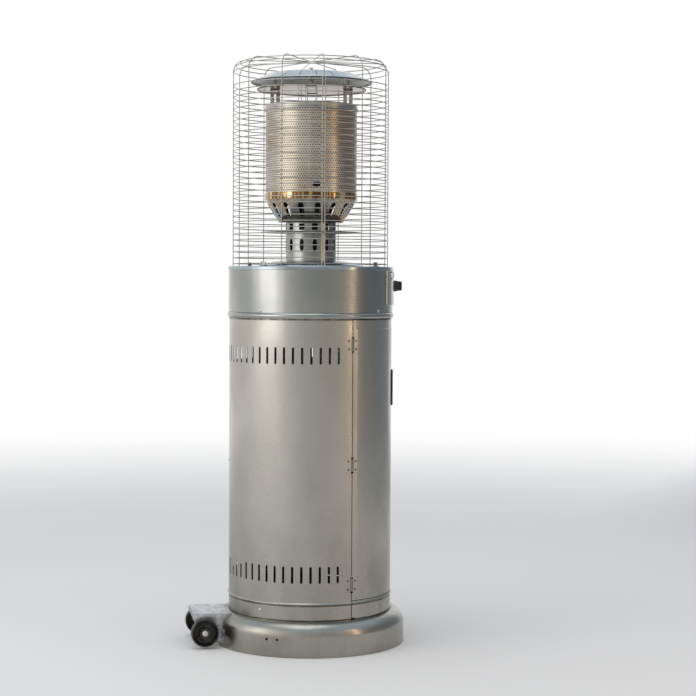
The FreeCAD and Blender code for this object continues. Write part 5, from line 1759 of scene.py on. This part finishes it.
KNOB_STEPS = 160
FLUTES = 20
SKIRT_RINGS = ((11.2, 0.2, 0.0), (12.9, 0.0, 0.0), (13.3, 0.8, 0.0), (13.4, 2.2, 0.0), (13.2, 3.2, 0.45),
               (12.4, 8.0, 0.55), (12.1, 9.6, 0.4), (11.4, 10.4, 0.1), (10.2, 10.7, 0.0), (4.0, 10.7, 0.0))
BAR_LEVELS = ((11.6, 3.4, 10.0), (11.2, 3.3, 15.0), (10.6, 3.1, 18.4), (9.6, 2.5, 19.4), (8.6, 1.6, 19.6))


def fluted_loop(radius, z, depth):
    points = []
    for i in range(KNOB_STEPS):
        way = TAU * i / KNOB_STEPS
        r = radius - depth * (0.5 + 0.5 * math.cos(way * FLUTES))
        points.append(metres(r * math.cos(way), r * math.sin(way), z))
    return points


def make_knob():
    skirt = loft("skirt", [fluted_loop(*ring) for ring in SKIRT_RINGS], True)
    unit = oval(1.0, 1.0, 2.0 / 0.6, 32, 360.0 / 64)
    bar = loft("bar", [[metres(x * thick, z * wide, high) for x, z in unit]
                       for wide, thick, high in BAR_LEVELS])
    knob = turn(join("knob", [skirt, bar]), 90.0, "X")
    shift(knob, metres(0.0, -(PANEL_RADIUS + 3.8), KNOB_Z))
    return dress(knob, "control_knob", "knob", degrees=40.0)


def make_button():
    outline = [(0.0, 174.0), (5.0, 174.0), (5.0, 192.0), (7.7, 192.0), (8.2, 192.5), (8.2, 199.6)]
    outline += arc(6.6, 200.2, 1.6, -10.0, 80.0, 5) + [(5.6, 201.7), (3.0, 201.2), (0.0, 201.0)]
    button = point_outwards(lathe("push_button", outline, 56), IGNITER_ANGLE, IGNITER_Z)
    return dress(button, "igniter_button", "igniter_button")


knob = make_knob()
button = make_button()
print("the knob has", len(knob.data.polygons), "faces, the button", len(button.data.polygons))

# %% [markdown]
# ## Light, floor and camera
# Satin steel shows the room it stands in, so the room is drawn with care: a bright side at the
# rear, a calm side at the front, and plain white beyond the heater. One ramp of tones, laid out by
# the direction round the heater, colours both the world and the far floor, so no horizon shows.

# %% Tones of the room

ROOM = ((0.0, (1.0, 1.0, 1.0)), (0.20, (1.0, 1.0, 1.0)), (0.36, (0.96, 0.96, 0.94)),
        (0.45, (0.60, 0.60, 0.58)), (0.53, (0.50, 0.50, 0.48)), (0.61, (0.60, 0.57, 0.52)),
        (0.67, (0.27, 0.27, 0.27)), (0.78, (0.22, 0.25, 0.28)), (0.872, (0.30, 0.33, 0.36)),
        (0.91, (1.0, 1.0, 1.0)))
OVERHEAD = (0.56, 0.69, 0.82)


def room_tone(graph, direction):
    """The room's colour in a direction from the heater, paler towards the ceiling."""
    part = graph.add("ShaderNodeSeparateXYZ", None, {"Vector": direction})
    x, y, z = part.out(0), part.out(1), part.out(2)
    round_way = (y * -1.0).apply("ARCTAN2", x * -1.0) / TAU + 0.5
    reach = (x * x + y * y + z * z).apply("SQRT")
    return blend(graph, (z / reach).smooth(0.30, 0.85), ramp(graph, round_way, ROOM), OVERHEAD)


def seen_rays(graph):
    """1 for rays that show the room: to the camera, off gloss, and through glass."""
    path = graph.add("ShaderNodeLightPath")
    either = path.out("Is Camera Ray") + path.out("Is Glossy Ray") + path.out("Is Transmission Ray")
    return either.apply("MINIMUM", 1.0)


print("the room has", len(ROOM), "tones")

# %% [markdown]
# The world has two jobs. For rays that show it, to the camera, off gloss and through glass, it is
# the drawn room. For all others it is an even pale light, so that the room's darker tones do not
# shade the heater. The floor keeps the shadow near the heater and turns into the room further out.

# %% World and floor

EVEN_LIGHT = (0.95, 0.97, 1.0, 1.0)
EVEN_STRENGTH = 0.62
FLOOR_TONE = (0.86, 0.86, 0.86)
FLOOR_FADE = (1.5, 6.0)
FLOOR_DISC = [(0.0, -0.3), (60000.0, -0.3)]


def make_world():
    """The room for rays that show it, and an even pale light for everything else."""
    world = bpy.data.worlds.new("studio")
    world.use_nodes = True
    world.node_tree.nodes.clear()
    graph = Graph(world.node_tree)
    tone = room_tone(graph, graph.add("ShaderNodeTexCoord").out("Generated"))
    seen = graph.add("ShaderNodeBackground", None, {"Color": tone, "Strength": 1.0}).out(0)
    lit = graph.add("ShaderNodeBackground", None, {"Color": EVEN_LIGHT, "Strength": EVEN_STRENGTH}).out(0)
    mix = graph.add("ShaderNodeMixShader", None, {0: seen_rays(graph), 1: lit, 2: seen}).out(0)
    graph.add("ShaderNodeOutputWorld", None, {"Surface": mix})
    bpy.context.scene.world = world


def pale_ground(name, colour):
    """A pale floor that keeps the shadow near the heater and fades into the room further out."""
    graph = open_material(name)
    place = graph.add("ShaderNodeTexCoord").out("Object")
    patch = noise(graph, 1.5, 2.0)
    worn = tuple(channel * 0.97 for channel in colour)
    near = graph.add("ShaderNodeBsdfPrincipled", None, {
        "Base Color": blend(graph, patch, colour, worn), "Roughness": 0.85 + patch * 0.1}).out(0)
    far = graph.add("ShaderNodeEmission", None, {"Color": room_tone(graph, place), "Strength": 1.0}).out(0)
    length = graph.add("ShaderNodeVectorMath", {"operation": "LENGTH"}, {0: place}).out("Value")
    mix = graph.add("ShaderNodeMixShader", None,
                    {0: seen_rays(graph) * length.smooth(*FLOOR_FADE), 1: near, 2: far}).out(0)
    graph.add("ShaderNodeOutputMaterial", None, {"Surface": mix})
    return FINISH[name]


make_world()
floor = lathe("floor", FLOOR_DISC, 64, False)
floor.data.materials.append(pale_ground("floor_white", FLOOR_TONE))
print("the floor fades into the room from", FLOOR_FADE[0], "to", FLOOR_FADE[1], "m")

# %% [markdown]
# Four soft boxes light the heater: a large one at the rear with a brighter core, a narrow warm one
# for the glow along the door's side, and one overhead. Their power is worked out from the tone that
# they would show in a mirror, so they match the room.

# %% Lamps


def soft_panel(name, place, aim_height, size, glow, colour=(1.0, 1.0, 1.0)):
    """A soft box. Its power follows from its size and the radiance that it shows."""
    data = bpy.data.lights.new(name, "AREA")
    data.shape = "RECTANGLE"
    data.size, data.size_y = size
    data.energy = glow * math.pi * size[0] * size[1]
    data.color = colour
    lamp = bpy.data.objects.new(name, data)
    lamp.location = place
    way = Vector((0.0, 0.0, aim_height)) - Vector(place)
    lamp.rotation_euler = way.to_track_quat("-Z", "Y").to_euler()
    lamp.visible_camera = False
    bpy.context.scene.collection.objects.link(lamp)
    print(name, "has", round(data.energy, 1), "W")


soft_panel("key_panel", (-1.1, 3.1, 1.6), 0.8, (3.2, 2.2), 0.60, (1.0, 0.98, 0.95))
soft_panel("key_core", (-1.15, 3.0, 1.5), 0.8, (1.6, 1.8), 0.85, (1.0, 0.98, 0.95))
soft_panel("warm_panel", (-2.41, -2.83, 1.5), 0.8, (0.26, 2.4), 4.6, (1.0, 0.68, 0.38))
soft_panel("top_panel", (-0.4, 0.5, 3.6), 0.6, (2.4, 2.4), 1.5)

# %% [markdown]
# The camera looks from the side, about four metres away and a little above the heater's middle. The
# long lens keeps the uprights nearly parallel. Pitch and roll are small and make the view agree
# with the photograph.

# %% Camera

CAMERA_PLACE = (-4.101, 0.634, 0.856)
CAMERA_WAY = (0.985, -0.174, 0.0)
CAMERA_PITCH = math.radians(2.23)
CAMERA_ROLL = math.radians(0.29)

camera_data = bpy.data.cameras.new("camera")
camera_data.lens = 90.5
camera_data.sensor_width = 36.0
camera = bpy.data.objects.new("camera", camera_data)
bpy.context.scene.collection.objects.link(camera)
level_way = Vector(CAMERA_WAY).normalized()
way = level_way * math.cos(CAMERA_PITCH) - Vector((0.0, 0.0, 1.0)) * math.sin(CAMERA_PITCH)
aim = way.to_track_quat("-Z", "Y").to_matrix().to_4x4()
camera.location = CAMERA_PLACE
camera.rotation_euler = (aim @ Matrix.Rotation(CAMERA_ROLL, 4, "Z")).to_euler()
scene = bpy.context.scene
scene.camera = camera
scene.view_settings.view_transform = "Standard"
print("the camera looks along", [round(value, 3) for value in way])

# %% End

print("the scene is built")
